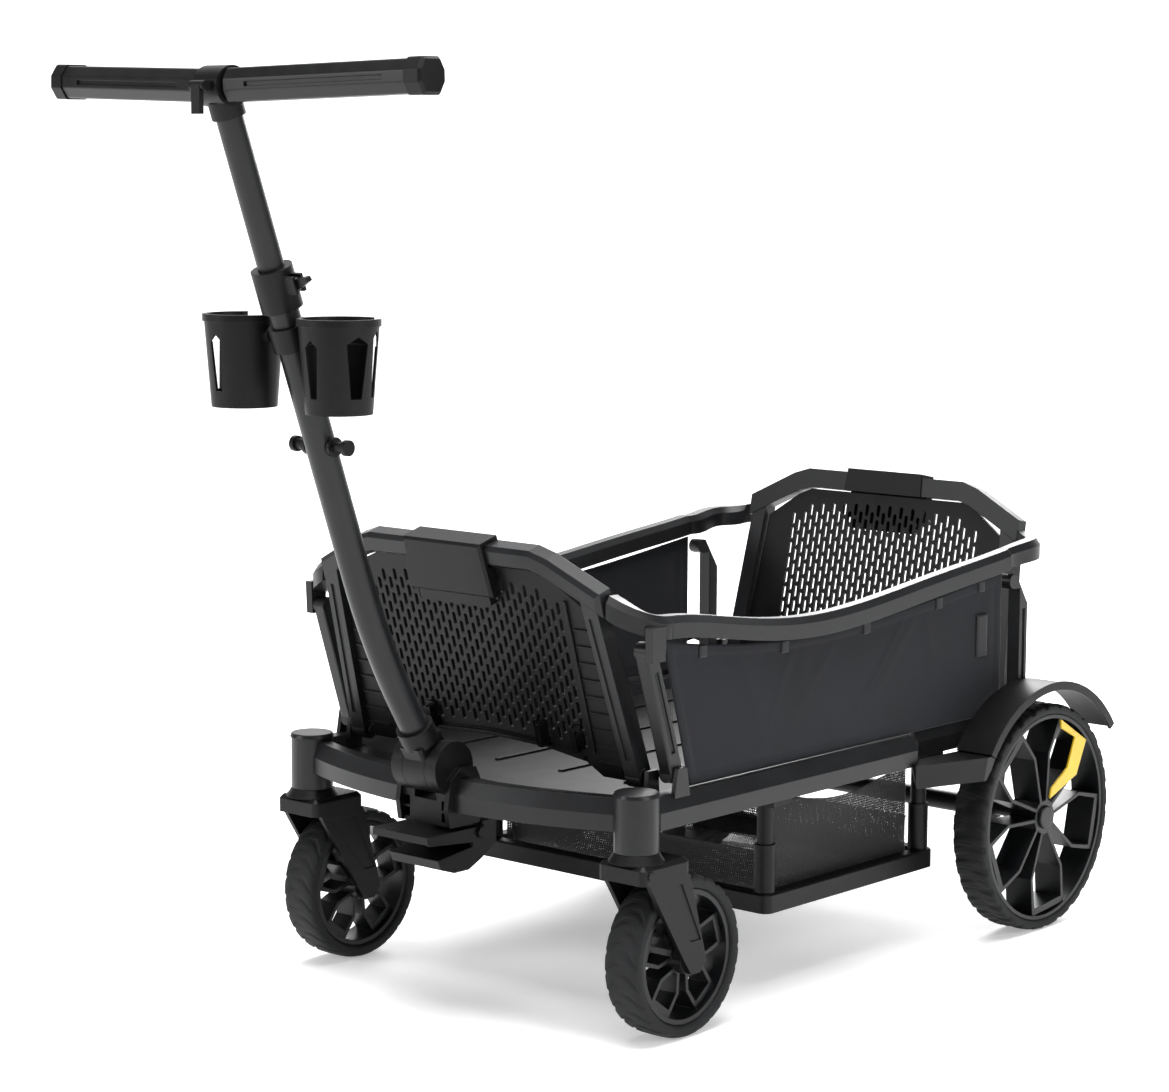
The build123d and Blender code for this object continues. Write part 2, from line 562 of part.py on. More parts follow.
with BuildPart() as front_strut:
    foot, head = at(FRONT_LINK_X, LINK_Y, FRONT_LINK_Z), at(LINK_TOP[0], LINK_Y, LINK_TOP[1])
    section, run = beam(foot, head, STRUT_W, LINK_T)
    extrude(section, amount=run)
    for plane_y in (foot, head):
        pivot = Plane(origin=plane_y, x_dir=(1, 0, 0), z_dir=(0, 1, 0))
        extrude(disc(pivot, STRUT_W / 2), amount=LINK_T / 2, both=True)
    nose = Plane(origin=at(FRONT_LINK_X - 16, LINK_Y, FRONT_LINK_Z), z_dir=(1, 0, 0))
    extrude(disc(nose, LINK_T / 2), amount=28)
    for groove in (-1, 1):
        start = at(FRONT_LINK_X + 8, LINK_Y + groove * LINK_T / 2, FRONT_LINK_Z + 26)
        end = at(LINK_TOP[0] - 8, LINK_Y + groove * LINK_T / 2, LINK_TOP[1] - 24)
        cut, cut_run = beam(start, end, 7, 7)
        extrude(cut, amount=cut_run, mode=Mode.SUBTRACT)
    for plane_y in (foot, head):
        pivot = Plane(origin=plane_y, x_dir=(1, 0, 0), z_dir=(0, 1, 0))
        extrude(disc(pivot, PIN_R + RUN), amount=LINK_T, both=True, mode=Mode.SUBTRACT)
finish_pair(front_strut, "front_strut")

with BuildPart() as rear_post:
    low, high = (REAR_LINK_X, REAR_LINK_Z), POST_TOP
    bar_low, bar_high = REAR_LINK_Z, POST_TOP[1]
    left_x, right_x = POST_X - POST_W / 2, POST_X + POST_W / 2
    body = [(REAR_LINK_X, bar_low - 10), (right_x, bar_low - 10), (right_x, bar_high - 10),
            (high[0], bar_high - 10), (high[0], bar_high + 9), (high[0] - 6, bar_high + 9),
            (left_x, bar_high - 32), (left_x, bar_low + 10), (REAR_LINK_X, bar_low + 10)]
    extrude(outline(upright(LINK_Y + LINK_T / 2), [(fore(x), z) for x, z in body]), amount=LINK_T)
    for px, pz in (low, high):
        extrude(disc(across_y(px, LINK_Y, pz), 9.5), amount=LINK_T / 2, both=True)
    groove = [(fore(POST_X), bar_low + 14), (fore(POST_X), bar_high - 38)]
    extrude(outline(upright(LINK_Y + LINK_T / 2 + 1), strip(groove, 7)), amount=3, mode=Mode.SUBTRACT)
    extrude(disc(across_y(low[0], LINK_Y, low[1]), PIN_R + RUN), amount=LINK_T, both=True, mode=Mode.SUBTRACT)
finish_pair(rear_post, "rear_post")

with BuildPart() as pivot_brackets:
    add(wall_brackets.part)
    for side in (-1, 1):
        outer = LINK_Y + LINK_T / 2 + GAP
        ends = ((FRONT_LINK_X, FRONT_LINK_Z, TUBE_TOP - 6, 6.0), (REAR_LINK_X, REAR_LINK_Z, TUBE_Z + 4, 4.0))
        for px, pz, base_z, ear_t in ends:
            ear = [(fore(px) - 14, base_z), (fore(px) + 14, base_z)]
            ear += [(fore(px) + 8, pz + 9), (fore(px) - 8, pz + 9)]
            if px > 0:
                ear_y = side * outer + (ear_t if side > 0 else 0)
                pin_y, pin_run = side * (outer + ear_t), -side * (ear_t + GAP + LINK_T + 2)
                tail = (-side * 3, outer - GAP - LINK_T - 2)
            else:
                inner = LINK_Y - LINK_T / 2 - GAP
                ear_y = side * inner + (0 if side > 0 else ear_t)
                pin_y, pin_run = side * (inner - ear_t), side * (ear_t + GAP + LINK_T - 1)
                tail = None
            extrude(outline(upright(ear_y), ear), amount=ear_t)
            extrude(disc(across_y(px, pin_y, pz), PIN_R), amount=pin_run)
            if tail:
                extrude(disc(across_y(px, side * tail[1], pz), PIN_R + 3), amount=tail[0])
    add(side_tube.part, mode=Mode.SUBTRACT)
    mirror(side_tube.part, about=Plane.XZ, mode=Mode.SUBTRACT)
finish(pivot_brackets, "pivot_brackets")

with BuildPart() as side_fabric:
    low_z = TUBE_TOP + 1
    lean = LINK_REACH / LINK_RISE
    front_low = FRONT_LINK_X - STRUT_W / 2 - PANEL_GAP - 12
    rail_drop = RAIL_H / 2 + 3
    top = [(front_low + lean * 150, 480 - rail_drop), (600, 465 - rail_drop), (455, 452 - rail_drop),
           (300, 461 - rail_drop), (160, 477 - rail_drop), (36, 490 - rail_drop)]
    edge = [(36, low_z), (front_low, low_z)]
    cloth = [(fore(x), z) for x, z in edge + top]
    extrude(outline(upright(LINK_Y + 1 + FABRIC_T), cloth), amount=FABRIC_T)
finish_pair(side_fabric, "side_fabric")

# ---------------------------------------------------------------- castors
CROWN_Z = 205.0
FORK_T = 6.0
FORK_IN = FRONT_TYRE_W / 2 + 4
HUB_R = 20.0

with BuildPart() as castor_fork:
    crown_x = KING_X - 14
    with BuildSketch(Plane(at(crown_x, KING_Y, CROWN_Z - 9))):
        RectangleRounded(84, 2 * (FORK_IN + FORK_T), 8)
    extrude(amount=22)
    chamfer(castor_fork.edges().group_by(Axis.Z)[-1], 5)
    neck_low = Plane(at(KING_X, KING_Y, CROWN_Z + 12))
    loft([disc(neck_low, SLEEVE_R + 7), disc(neck_low.offset(SLEEVE_Z - CROWN_Z - 12 - 0.4), SLEEVE_R)])
    for side in (-1, 1):
        inner = KING_Y + side * FORK_IN + (FORK_T if side > 0 else 0)
        leg = [(crown_x + 34, CROWN_Z - 6), (crown_x - 40, CROWN_Z - 6), (WHEELBASE - 19, FRONT_R - 4),
               (WHEELBASE - 8, FRONT_R - 17), (WHEELBASE + 8, FRONT_R - 17), (WHEELBASE + 20, FRONT_R)]
        extrude(outline(upright(inner), [(fore(x), z) for x, z in leg], 2), amount=FORK_T)
        recess = [(crown_x + 18, CROWN_Z - 16), (crown_x - 26, CROWN_Z - 16), (WHEELBASE - 9, FRONT_R + 22),
                  (WHEELBASE + 10, FRONT_R + 22)]
        face = KING_Y + side * (FORK_IN + FORK_T) + (0.5 if side > 0 else 1.5)
        extrude(outline(upright(face), [(fore(x), z) for x, z in recess]), amount=2, mode=Mode.SUBTRACT)
    pin_foot = Plane(at(KING_X, KING_Y, SLEEVE_Z - 10))
    extrude(disc(pin_foot, KING_R), amount=SLEEVE_TOP - SLEEVE_Z + 10 - 1)
    extrude(disc(across_y(WHEELBASE, KING_Y, FRONT_R), AXLE_R), amount=FORK_IN + 1, both=True)
    button_well = Plane(origin=at(crown_x + 30, KING_Y + FORK_IN - 6, CROWN_Z + 2), z_dir=(0, 1, 0))
    extrude(disc(button_well, 5.1), amount=20, mode=Mode.SUBTRACT)
finish_pair(castor_fork, "castor_fork")

with BuildPart() as castor_button:
    button_plane = Plane(origin=at(crown_x + 30, KING_Y + FORK_IN - 2, CROWN_Z + 2), z_dir=(0, 1, 0))
    extrude(disc(button_plane, 5.0), amount=FORK_T + 4)
    fillet(castor_button.edges().group_by(Axis.Y)[-1], 1)
finish_pair(castor_button, "castor_button")


def ring_points(centre_x, centre_z, polar):
    """Points of a wheel-face outline given as radius and angle about the axle."""
    return [(fore(centre_x) + r * cos(radians(a)), centre_z + r * sin(radians(a))) for r, a in polar]


def wheel_rim(centre_x, centre_y, centre_z, rim_out, rim_t, width, depth, hub, petal):
    """Wheel with a hub, an outer ring and five hollow kite-shaped spokes.

    petal holds the radius and half angle of the kite's root, shoulder and tip, and its wall.
    """
    root, shoulder, tip, wall, first = petal
    middle = across_y(centre_x, centre_y, centre_z)
    with BuildPart() as rim:
        extrude(disc(middle, rim_out, rim_out - rim_t), amount=width / 2, both=True)
        extrude(disc(middle, hub), amount=depth / 2, both=True)
        for spoke in range(5):
            turn = first + 72 * spoke
            kite = [(root[0], turn + root[1]), (shoulder[0], turn + shoulder[1]), (tip[0], turn + tip[1])]
            kite += [(tip[0], turn - tip[1]), (shoulder[0], turn - shoulder[1]), (root[0], turn - root[1])]
            shape = ring_points(centre_x, centre_z, kite)
            extrude(outline(upright(centre_y + depth / 2), shape), amount=depth)
        for spoke in range(5):
            turn = first + 72 * spoke
            with BuildSketch(upright(centre_y + depth)) as hole:
                with BuildLine():
                    kite = [(root[0], turn + root[1]), (shoulder[0], turn + shoulder[1])]
                    kite += [(tip[0] - wall, turn + tip[1]), (tip[0] - wall, turn - tip[1])]
                    kite += [(shoulder[0], turn - shoulder[1]), (root[0], turn - root[1])]
                    Polyline(*ring_points(centre_x, centre_z, kite), close=True)
                make_face()
                offset(amount=-wall, kind=Kind.INTERSECTION, mode=Mode.REPLACE)
            extrude(hole.sketch, amount=2 * depth, mode=Mode.SUBTRACT)
        extrude(disc(middle, hub), amount=depth / 2, both=True)
        extrude(disc(middle, AXLE_R + RUN), amount=width, both=True, mode=Mode.SUBTRACT)
    return rim


def tyre(centre_x, centre_y, centre_z, outer, inner, width, blocks):
    """Tyre with rounded shoulders and staggered cross grooves."""
    with BuildPart() as ring:
        with BuildSketch(Plane(origin=at(centre_x, centre_y, centre_z), x_dir=(0, 1, 0), z_dir=(1, 0, 0))):
            with BuildLine():
                half = width / 2
                Polyline((-half, inner), (half, inner), (half, outer - 9), (half - 2, outer - 4),
                         (half - 8, outer - 0.8), (half - 14, outer), (14 - half, outer),
                         (8 - half, outer - 0.8), (2 - half, outer - 4), (-half, outer - 9), close=True)
            make_face()
        revolve(axis=Axis(at(centre_x, centre_y, centre_z), (0, 1, 0)))
        for side in (-1, 1):
            turn = 180 / blocks if side > 0 else 0
            row = Plane(origin=at(centre_x, centre_y + side * width / 2, centre_z), z_dir=(0, 1, 0))
            with Locations(row):
                with PolarLocations(outer, blocks, start_angle=turn):
                    Box(5, 4, 24, mode=Mode.SUBTRACT)
    return ring


FRONT_RIM_R = 79.0
front_petal = ((18, 20), (44, 27), (74, 16), 4.5, 90)
front_rim = wheel_rim(WHEELBASE, KING_Y, FRONT_R, FRONT_RIM_R, 6, 42, 30, HUB_R, front_petal)
with BuildPart() as front_wheel_rim:
    add(front_rim.part)
    extrude(disc(across_y(WHEELBASE, KING_Y, FRONT_R), HUB_R, AXLE_R + RUN), amount=FORK_IN - 1, both=True)
finish_pair(front_wheel_rim, "front_wheel_rim")
finish_pair(tyre(WHEELBASE, KING_Y, FRONT_R, FRONT_R, FRONT_RIM_R, FRONT_TYRE_W, 24), "front_tyre")

# ---------------------------------------------------------------- rear wheels
REAR_RIM_R = 136.0
REAR_DEPTH = 40.0
rear_petal = ((20, 24), (85, 26), (132, 16.5), 4.5, 120)
rear_rim = wheel_rim(0, REAR_WHEEL_Y, REAR_R, REAR_RIM_R, 5, 44, REAR_DEPTH, 22, rear_petal)
CAP_R = 15.0
CAP_Y = REAR_WHEEL_Y + REAR_DEPTH / 2
with BuildPart() as rear_wheel_rim:
    add(rear_rim.part)
    extrude(disc(across_y(0, CAP_Y, REAR_R), 22, CAP_R + 0.4), amount=-10, mode=Mode.ADD)
    extrude(disc(across_y(0, CAP_Y - 9, REAR_R), CAP_R + 0.3), amount=40, mode=Mode.SUBTRACT)
finish_pair(rear_wheel_rim, "rear_wheel_rim")
finish_pair(tyre(0, REAR_WHEEL_Y, REAR_R, REAR_R, REAR_RIM_R, REAR_TYRE_W, 30), "rear_tyre")

with BuildPart() as accent:
    band = [(25, 110), (85, 147), (130, 136), (130, 104), (119, 106), (118, 124), (77, 130), (39, 108)]
    extrude(outline(upright(CAP_Y + 2.5), ring_points(0, REAR_R, band)), amount=2.5)
finish_pair(accent, "wheel_accent")

with BuildPart() as hub_button:
    extrude(disc(across_y(0, CAP_Y - 4.5, REAR_R), CAP_R), amount=8.5)
    fillet(hub_button.edges().filter_by(GeomType.CIRCLE).group_by(Axis.Y)[-1], 2)
finish_pair(hub_button, "hub_button")

# ---------------------------------------------------------------- pull handle
STEM = Vector(COLLAR_X - BEND_X, 0, COLLAR_Z - BEND_Z).normalized()
SIDE = Vector(0, 1, 0)


def on_stem(distance, sideways=0.0):
    """Point on the straight upper run of the handle, measured up from the collar."""
    return Vector(fore(COLLAR_X), sideways, COLLAR_Z) + STEM * distance


def stem_plane(distance):
    """Plane across the handle's straight run, with its first axis to the wagon's left."""
    return Plane(origin=on_stem(distance), x_dir=SIDE, z_dir=STEM)


lower_run = Vector(BEND_X - BARREL_X, 0, BEND_Z - BARREL_Z).normalized()
knuckle_at = Vector(*at(BARREL_X, 0, BARREL_Z))
with BuildPart() as handle_barrel:
    extrude(disc(across_y(BARREL_X, 0, BARREL_Z), BARREL_R), amount=BARREL_W / 2 - 0.5, both=True)
    neck = Plane(origin=knuckle_at + lower_run * 10, x_dir=SIDE, z_dir=lower_run)
    with BuildSketch(neck) as neck_section:
        RectangleRounded(BARREL_W - 1, 2 * OUTER_R + 8, 5)
    extrude(neck_section.sketch, amount=30)
    socket = Plane(origin=knuckle_at + lower_run * 35, z_dir=lower_run)
    extrude(disc(socket, OUTER_R + 5), amount=24)
    extrude(disc(socket.offset(5), OUTER_R), amount=40, mode=Mode.SUBTRACT)
    extrude(disc(across_y(BARREL_X, 0, BARREL_Z), PIVOT_R + RUN), amount=60, both=True, mode=Mode.SUBTRACT)
finish(handle_barrel, "handle_barrel")

with BuildPart() as lower_tube:
    tube_start = knuckle_at + lower_run * 40
    with BuildLine() as spine:
        FilletPolyline(tube_start, at(BEND_X, 0, BEND_Z), at(COLLAR_X, 0, COLLAR_Z), radius=900)
    with BuildSketch(Plane(origin=tube_start, x_dir=SIDE, z_dir=lower_run)):
        Circle(OUTER_R)
        Circle(INNER_R + RUN, mode=Mode.SUBTRACT)
    sweep()
finish(lower_tube, "lower_tube")

with BuildPart() as tube_collar:
    extrude(disc(stem_plane(0), OUTER_R + 6, INNER_R + RUN), amount=36)
    extrude(disc(stem_plane(-12), OUTER_R + 6, OUTER_R), amount=12)
    jaw = stem_plane(18)
    for side in (-1, 1):
        ear = Plane(origin=on_stem(18, 26) + jaw.y_dir * (side * 6), x_dir=SIDE, z_dir=jaw.y_dir)
        with BuildSketch(ear):
            Rectangle(24, 20)
        extrude(amount=2, both=True)
    extrude(disc(stem_plane(-5), INNER_R + RUN), amount=60, mode=Mode.SUBTRACT)
    lever_axis = Plane(origin=on_stem(18, 32), x_dir=SIDE, z_dir=jaw.y_dir)
    extrude(disc(lever_axis, 3), amount=8, both=True)
finish(tube_collar, "tube_collar")

with BuildPart() as collar_lever:
    extrude(disc(lever_axis, 7), amount=3.6, both=True)
    with BuildSketch(lever_axis) as blade:
        with BuildLine():
            Polyline((4, -6), (22, -9), (24, -4), (6, 6), close=True)
        make_face()
    extrude(blade.sketch, amount=3.6, both=True)
    extrude(disc(lever_axis, 3 + RUN), amount=10, both=True, mode=Mode.SUBTRACT)
finish(collar_lever, "collar_lever")

REACH_UP = (GRIP_Z - COLLAR_Z) / STEM.Z      # collar to the middle of the grip bar
bar_centre = on_stem(REACH_UP)

with BuildPart() as upper_tube:
    extrude(disc(stem_plane(-INSERT), INNER_R, INNER_R - 2.5), amount=INSERT + REACH_UP - GRIP_HEIGHT / 2 + 2)
finish(upper_tube, "upper_tube")

lever_pivot = Plane(origin=bar_centre + Vector(LEVER_OUT, 0, 0), x_dir=(1, 0, 0), z_dir=(0, 1, 0))
with BuildPart() as bar_clamp:
    with BuildSketch(Plane(origin=bar_centre, x_dir=(1, 0, 0), z_dir=(0, 1, 0))) as shell:
        Ellipse(GRIP_DEPTH / 2 + 4, GRIP_HEIGHT / 2 + 4)
    extrude(shell.sketch, amount=19, both=True)
    extrude(disc(stem_plane(REACH_UP - GRIP_HEIGHT / 2 - 16), INNER_R + 4), amount=20)
    extrude(disc(stem_plane(REACH_UP - GRIP_HEIGHT / 2 - 18), INNER_R), amount=20, mode=Mode.SUBTRACT)
    for side in (-1, 1):
        ear = lever_pivot.offset(side * 9)
        extrude(disc(ear, 5.5), amount=2, both=True)
        with Locations(bar_centre + Vector(LEVER_OUT - 8, side * 9, 0)):
            Box(16, 4, 11)
    extrude(disc(lever_pivot, 2.5), amount=10, both=True)
finish(bar_clamp, "bar_clamp")

with BuildPart() as clamp_lever:
    extrude(disc(lever_pivot, 5.5), amount=6.6, both=True)
    with Locations(lever_pivot.origin + Vector(2.5, 0, -15)):
        Box(6, 13.2, 30)
    extrude(disc(lever_pivot, 2.5 + RUN), amount=20, both=True, mode=Mode.SUBTRACT)
finish(clamp_lever, "clamp_lever")


def grip_outline(plane, depth, height):
    """Faceted oval of a hand grip."""
    half_d, half_h = depth / 2, height / 2
    points = [(half_d, half_h * 0.35), (half_d * 0.62, half_h)]
    points += [(-x, z) for x, z in reversed(points)]
    points += [(-x, -z) for x, z in points]
    return outline(plane, points, 4)


GRIP_IN = 21.5
CAP_LEN = 22.0
GRIP_END = GRIP_LENGTH / 2 - CAP_LEN
grip_way = Vector(-GRIP_BACK, GRIP_LENGTH / 2, GRIP_UP).normalized()
grip_plane = Plane(origin=bar_centre, x_dir=Vector(0, 0, 1).cross(grip_way), z_dir=grip_way)
with BuildPart() as grip:
    extrude(grip_outline(grip_plane.offset(GRIP_IN), GRIP_DEPTH, GRIP_HEIGHT), amount=GRIP_END - GRIP_IN)
    for u, v in ((0, GRIP_HEIGHT / 2), (0, -GRIP_HEIGHT / 2), (GRIP_DEPTH / 2, 0), (-GRIP_DEPTH / 2, 0)):
        with Locations(grip_plane.offset((GRIP_END + GRIP_IN) / 2).location):
            with Locations((u, v, 0)):
                Box(5, 5, GRIP_END - GRIP_IN - 60, mode=Mode.SUBTRACT)
with BuildPart() as grips:
    add(grip.part)
    mirror(grip.part, about=Plane.XZ)
finish(grips, "grips")

with BuildPart() as grip_cap:
    extrude(grip_outline(grip_plane.offset(GRIP_END), GRIP_DEPTH + 3, GRIP_HEIGHT + 3), amount=CAP_LEN)
    chamfer(grip_cap.faces().sort_by(Axis(bar_centre, grip_way))[-1].edges(), 3)
with BuildPart() as grip_caps:
    add(grip_cap.part)
    mirror(grip_cap.part, about=Plane.XZ)
finish(grip_caps, "grip_caps")

CUP_BAND = (CUP_Z + CUP_H - 22 - COLLAR_Z) / STEM.Z      # along the stem from the collar
with BuildPart() as cup_band:
    extrude(disc(stem_plane(CUP_BAND - 14), OUTER_R + 5, OUTER_R), amount=28)
    pivot_at = on_stem(CUP_BAND)
    pivot_plane = Plane(origin=pivot_at, x_dir=(1, 0, 0), z_dir=(0, 1, 0))
    for side in (-1, 1):
        stub = pivot_plane.offset(side * (OUTER_R + 3))
        extrude(disc(stub, 7), amount=side * (CUP_Y - CUP_R - OUTER_R - 7))
        extrude(disc(stub, 3), amount=side * (CUP_Y - CUP_R - OUTER_R))
finish(cup_band, "cup_band")

with BuildPart() as cup_holder:
    foot = Plane(at(CUP_X, CUP_Y, CUP_Z))
    loft([disc(foot, CUP_FOOT_R), disc(foot.offset(CUP_H), CUP_R)])
    loft([disc(foot.offset(CUP_T), CUP_FOOT_R - CUP_T), disc(foot.offset(CUP_H + 1), CUP_R - CUP_T)],
         mode=Mode.SUBTRACT)
    extrude(disc(foot.offset(CUP_H - 8), CUP_R + 1.5, CUP_R - 2.5), amount=8)
    with Locations(at(CUP_X - 40, CUP_Y + 20, CUP_Z + CUP_H - 34)):
        Box(44, 22, 76, mode=Mode.SUBTRACT)
    for turn, reach, height in ((0, 9, 56), (75, 13, 60), (115, 7, 66)):
        petal = Plane(origin=at(CUP_X, CUP_Y, CUP_Z + 18), x_dir=(-sin(radians(turn)), cos(radians(turn)), 0),
                      z_dir=(cos(radians(turn)), sin(radians(turn)), 0))
        opening = [(-reach / 2, 0), (reach / 2, 0), (reach, height), (0, height + 8), (-reach, height)]
        extrude(outline(petal, opening, 1.5), amount=60, mode=Mode.SUBTRACT)
    face = CUP_Y - CUP_R - 3
    boss = Plane(origin=(pivot_at.X, face, pivot_at.Z), z_dir=(0, 1, 0))
    extrude(disc(boss, 9), amount=9)
    extrude(disc(foot.offset(CUP_H - 30), CUP_R - CUP_T - 1), amount=60, mode=Mode.SUBTRACT)
    extrude(disc(boss.offset(-1), 3 + RUN), amount=20, mode=Mode.SUBTRACT)
finish_pair(cup_holder, "cup_holder")

with BuildPart() as hook_pin:
    extrude(disc(across_y(HOOK_X, 0, HOOK_Z), 6), amount=44, both=True)
    for side in (-1, 1):
        pad = across_y(HOOK_X, side * OUTER_R, HOOK_Z)
        extrude(disc(pad, 11), amount=side * 5)
        extrude(disc(across_y(HOOK_X, side * 44, HOOK_Z), 9), amount=-side * 6)
    add(lower_tube.part, mode=Mode.SUBTRACT)
    extrude(disc(stem_plane(10), OUTER_R), amount=-400, mode=Mode.SUBTRACT)
finish(hook_pin, "hook_pin")

# ---------------------------------------------------------------- handle bracket and pedal
BRACKET_LOW = 232.0
PEDAL_X = 794.0              # pedal's pin, behind the tread
PEDAL_Z = 221.0
PEDAL_HALF = 45.0
PEDAL_TOP = 228.0

with BuildPart() as handle_bracket:
    with Locations(at(819, 0, (BRACKET_LOW + 262) / 2)):
        Box(44, BARREL_W + 2 * CHEEK_T, 262 - BRACKET_LOW)
    for side in (-1, 1):
        cheek_y = side * (BARREL_W / 2 + CHEEK_T / 2)
        extrude(disc(across_y(BARREL_X, cheek_y, BARREL_Z), BARREL_R), amount=CHEEK_T / 2, both=True)
        web = [(800, BRACKET_LOW), (841, BRACKET_LOW), (841, 292), (800, 292)]
        extrude(outline(upright(cheek_y + CHEEK_T / 2), [(fore(x), z) for x, z in web]), amount=CHEEK_T)
        flange = [(794, BRACKET_LOW), (844, BRACKET_LOW), (848, 256), (843, 288), (826, 302), (800, 300),
                  (792, 284)]
        flange_y = side * (BRACKET_HALF - FLANGE_T / 2) + FLANGE_T / 2
        extrude(outline(upright(flange_y), [(fore(x), z) for x, z in flange], 2), amount=FLANGE_T)
    for side in (-1, 1):
        for low, high in ((237, 248), (251, 262)):
            with Locations(at(836, side * (BARREL_W / 2 + CHEEK_T - 5), (low + high) / 2)):
                Box(14, 10, high - low, mode=Mode.SUBTRACT)
    extrude(disc(across_y(BARREL_X, 0, BARREL_Z), PIVOT_R), amount=BARREL_W / 2 + CHEEK_T - 1, both=True)
finish(handle_bracket, "handle_bracket")

with BuildPart() as pedal_housing:
    shell = [(762, BRACKET_LOW), (786, BRACKET_LOW), (786, 206), (862, 196), (856, 184), (834, 177)]
    shell += [(809, 177), (788, 187), (762, 203)]
    extrude(outline(upright(40), [(fore(x), z) for x, z in shell]), amount=80)
    hollow = [(768, 226), (780, 226), (780, 201), (852, 191)]
    hollow += [(832, 183), (811, 183), (792, 191), (768, 206)]
    extrude(outline(upright(35), [(fore(x), z) for x, z in hollow]), amount=70, mode=Mode.SUBTRACT)
    with Locations(at(781.5, 0, BRACKET_LOW + 3)):
        Box(31, BARREL_W + 2 * CHEEK_T - 2, 6)
    for side in (-1, 1):
        pin_y = side * 35
        ear = [(784, 200), (802, 200), (802, PEDAL_Z + 7), (784, PEDAL_Z + 7)]
        ear_y = side * 37.5 + 2.5
        extrude(outline(upright(ear_y), [(fore(x), z) for x, z in ear]), amount=5)
        extrude(disc(across_y(PEDAL_X, pin_y, PEDAL_Z), PIN_R), amount=side * (PEDAL_HALF + 1 - 35))
        extrude(disc(across_y(PEDAL_X, side * (PEDAL_HALF + 0.6), PEDAL_Z), PIN_R + 3), amount=side * 3)
finish(pedal_housing, "pedal_housing")

with BuildPart() as foot_pedal:
    tread = [(806, PEDAL_TOP - 11), (884, PEDAL_TOP - 9), (884, PEDAL_TOP), (806, PEDAL_TOP)]
    extrude(outline(upright(PEDAL_HALF), [(fore(x), z) for x, z in tread]), amount=2 * PEDAL_HALF)
    for side in (-1, 1):
        arm = [(786, PEDAL_Z - 8), (812, PEDAL_Z - 10), (880, PEDAL_TOP - 11)]
        arm += [(884, PEDAL_TOP), (786, PEDAL_TOP)]
        arm_y = side * (PEDAL_HALF - 2.2) + 2.2
        extrude(outline(upright(arm_y), [(fore(x), z) for x, z in arm]), amount=4.4)
        bore = disc(across_y(PEDAL_X, side * 30, PEDAL_Z), PIN_R + RUN)
        extrude(bore, amount=side * 30, mode=Mode.SUBTRACT)
finish(foot_pedal, "foot_pedal")
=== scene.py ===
# %% [markdown]
# A children's pull wagon, finished in Blender over its engineering model.
# The engineering model is loaded first as a fixed frame: every length below is worked out from it,
# and every new piece rides on one of its bodies, so it moves as the real piece does.

# %% Load the frame
import json
import math

import bpy
import numpy as np
from mathutils import Matrix, Vector


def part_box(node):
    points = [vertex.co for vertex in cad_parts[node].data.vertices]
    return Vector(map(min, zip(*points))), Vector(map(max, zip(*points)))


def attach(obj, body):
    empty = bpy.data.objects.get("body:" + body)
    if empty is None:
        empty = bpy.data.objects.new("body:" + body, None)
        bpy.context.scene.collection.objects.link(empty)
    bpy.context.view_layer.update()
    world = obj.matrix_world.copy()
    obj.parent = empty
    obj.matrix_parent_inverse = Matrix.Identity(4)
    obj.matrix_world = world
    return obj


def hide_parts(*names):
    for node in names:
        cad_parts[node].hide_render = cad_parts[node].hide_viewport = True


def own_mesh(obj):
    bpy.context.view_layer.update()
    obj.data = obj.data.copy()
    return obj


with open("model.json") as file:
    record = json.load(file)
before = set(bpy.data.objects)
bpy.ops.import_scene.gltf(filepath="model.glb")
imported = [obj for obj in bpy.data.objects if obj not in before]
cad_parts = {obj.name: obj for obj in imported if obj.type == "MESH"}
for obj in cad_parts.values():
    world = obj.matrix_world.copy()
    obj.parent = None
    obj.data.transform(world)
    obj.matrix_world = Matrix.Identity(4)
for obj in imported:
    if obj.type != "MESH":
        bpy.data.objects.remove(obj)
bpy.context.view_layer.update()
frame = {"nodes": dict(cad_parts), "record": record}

nodes = frame["nodes"]

# %% [markdown]
# The wagon's own sizes. The rear axle and the wheels' radii are read from the model's tyres, so that
# the finish follows the frame if a size changes.

# %% Read the driving places
def wheel_radius(node):
    """Half of the height of a tyre's box."""
    low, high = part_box(node)
    return (high.z - low.z) / 2


REAR_RADIUS = wheel_radius("rear_tyre_left")
FRONT_RADIUS = wheel_radius("front_tyre_left")
low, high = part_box("rear_tyre_left")
REAR_AXLE_X = ((low + high) / 2).x
print("rear axle at", round(REAR_AXLE_X, 4), "radius", round(REAR_RADIUS, 4), round(FRONT_RADIUS, 4))

# %% [markdown]
# Materials. Each one is named for what it is made of. Colours are written as sRGB hex values, as a
# paint chart gives them, and one function turns them to the linear values that Blender works in.
# One small function adds a node, sets its values and links its inputs.

# %% Colour and node helpers
def linear(hex_colour, alpha=1.0):
    """sRGB hex to linear: each channel is c/12.92 when small, else ((c + 0.055)/1.055) to the 2.4."""
    channels = [int(hex_colour[i:i + 2], 16) / 255 for i in (1, 3, 5)]
    values = [c / 12.92 if c <= 0.04045 else ((c + 0.055) / 1.055) ** 2.4 for c in channels]
    return (*values, alpha)


def add_node(material, kind, values=None, links=None, **settings):
    """One shader node: settings are its own properties, values its socket values, links its inputs."""
    node = material.node_tree.nodes.new(kind)
    for name, value in settings.items():
        setattr(node, name, value)
    for name, value in (values or {}).items():
        node.inputs[name].default_value = value
    for name, source in (links or {}).items():
        material.node_tree.links.new(source, node.inputs[name])
    return node


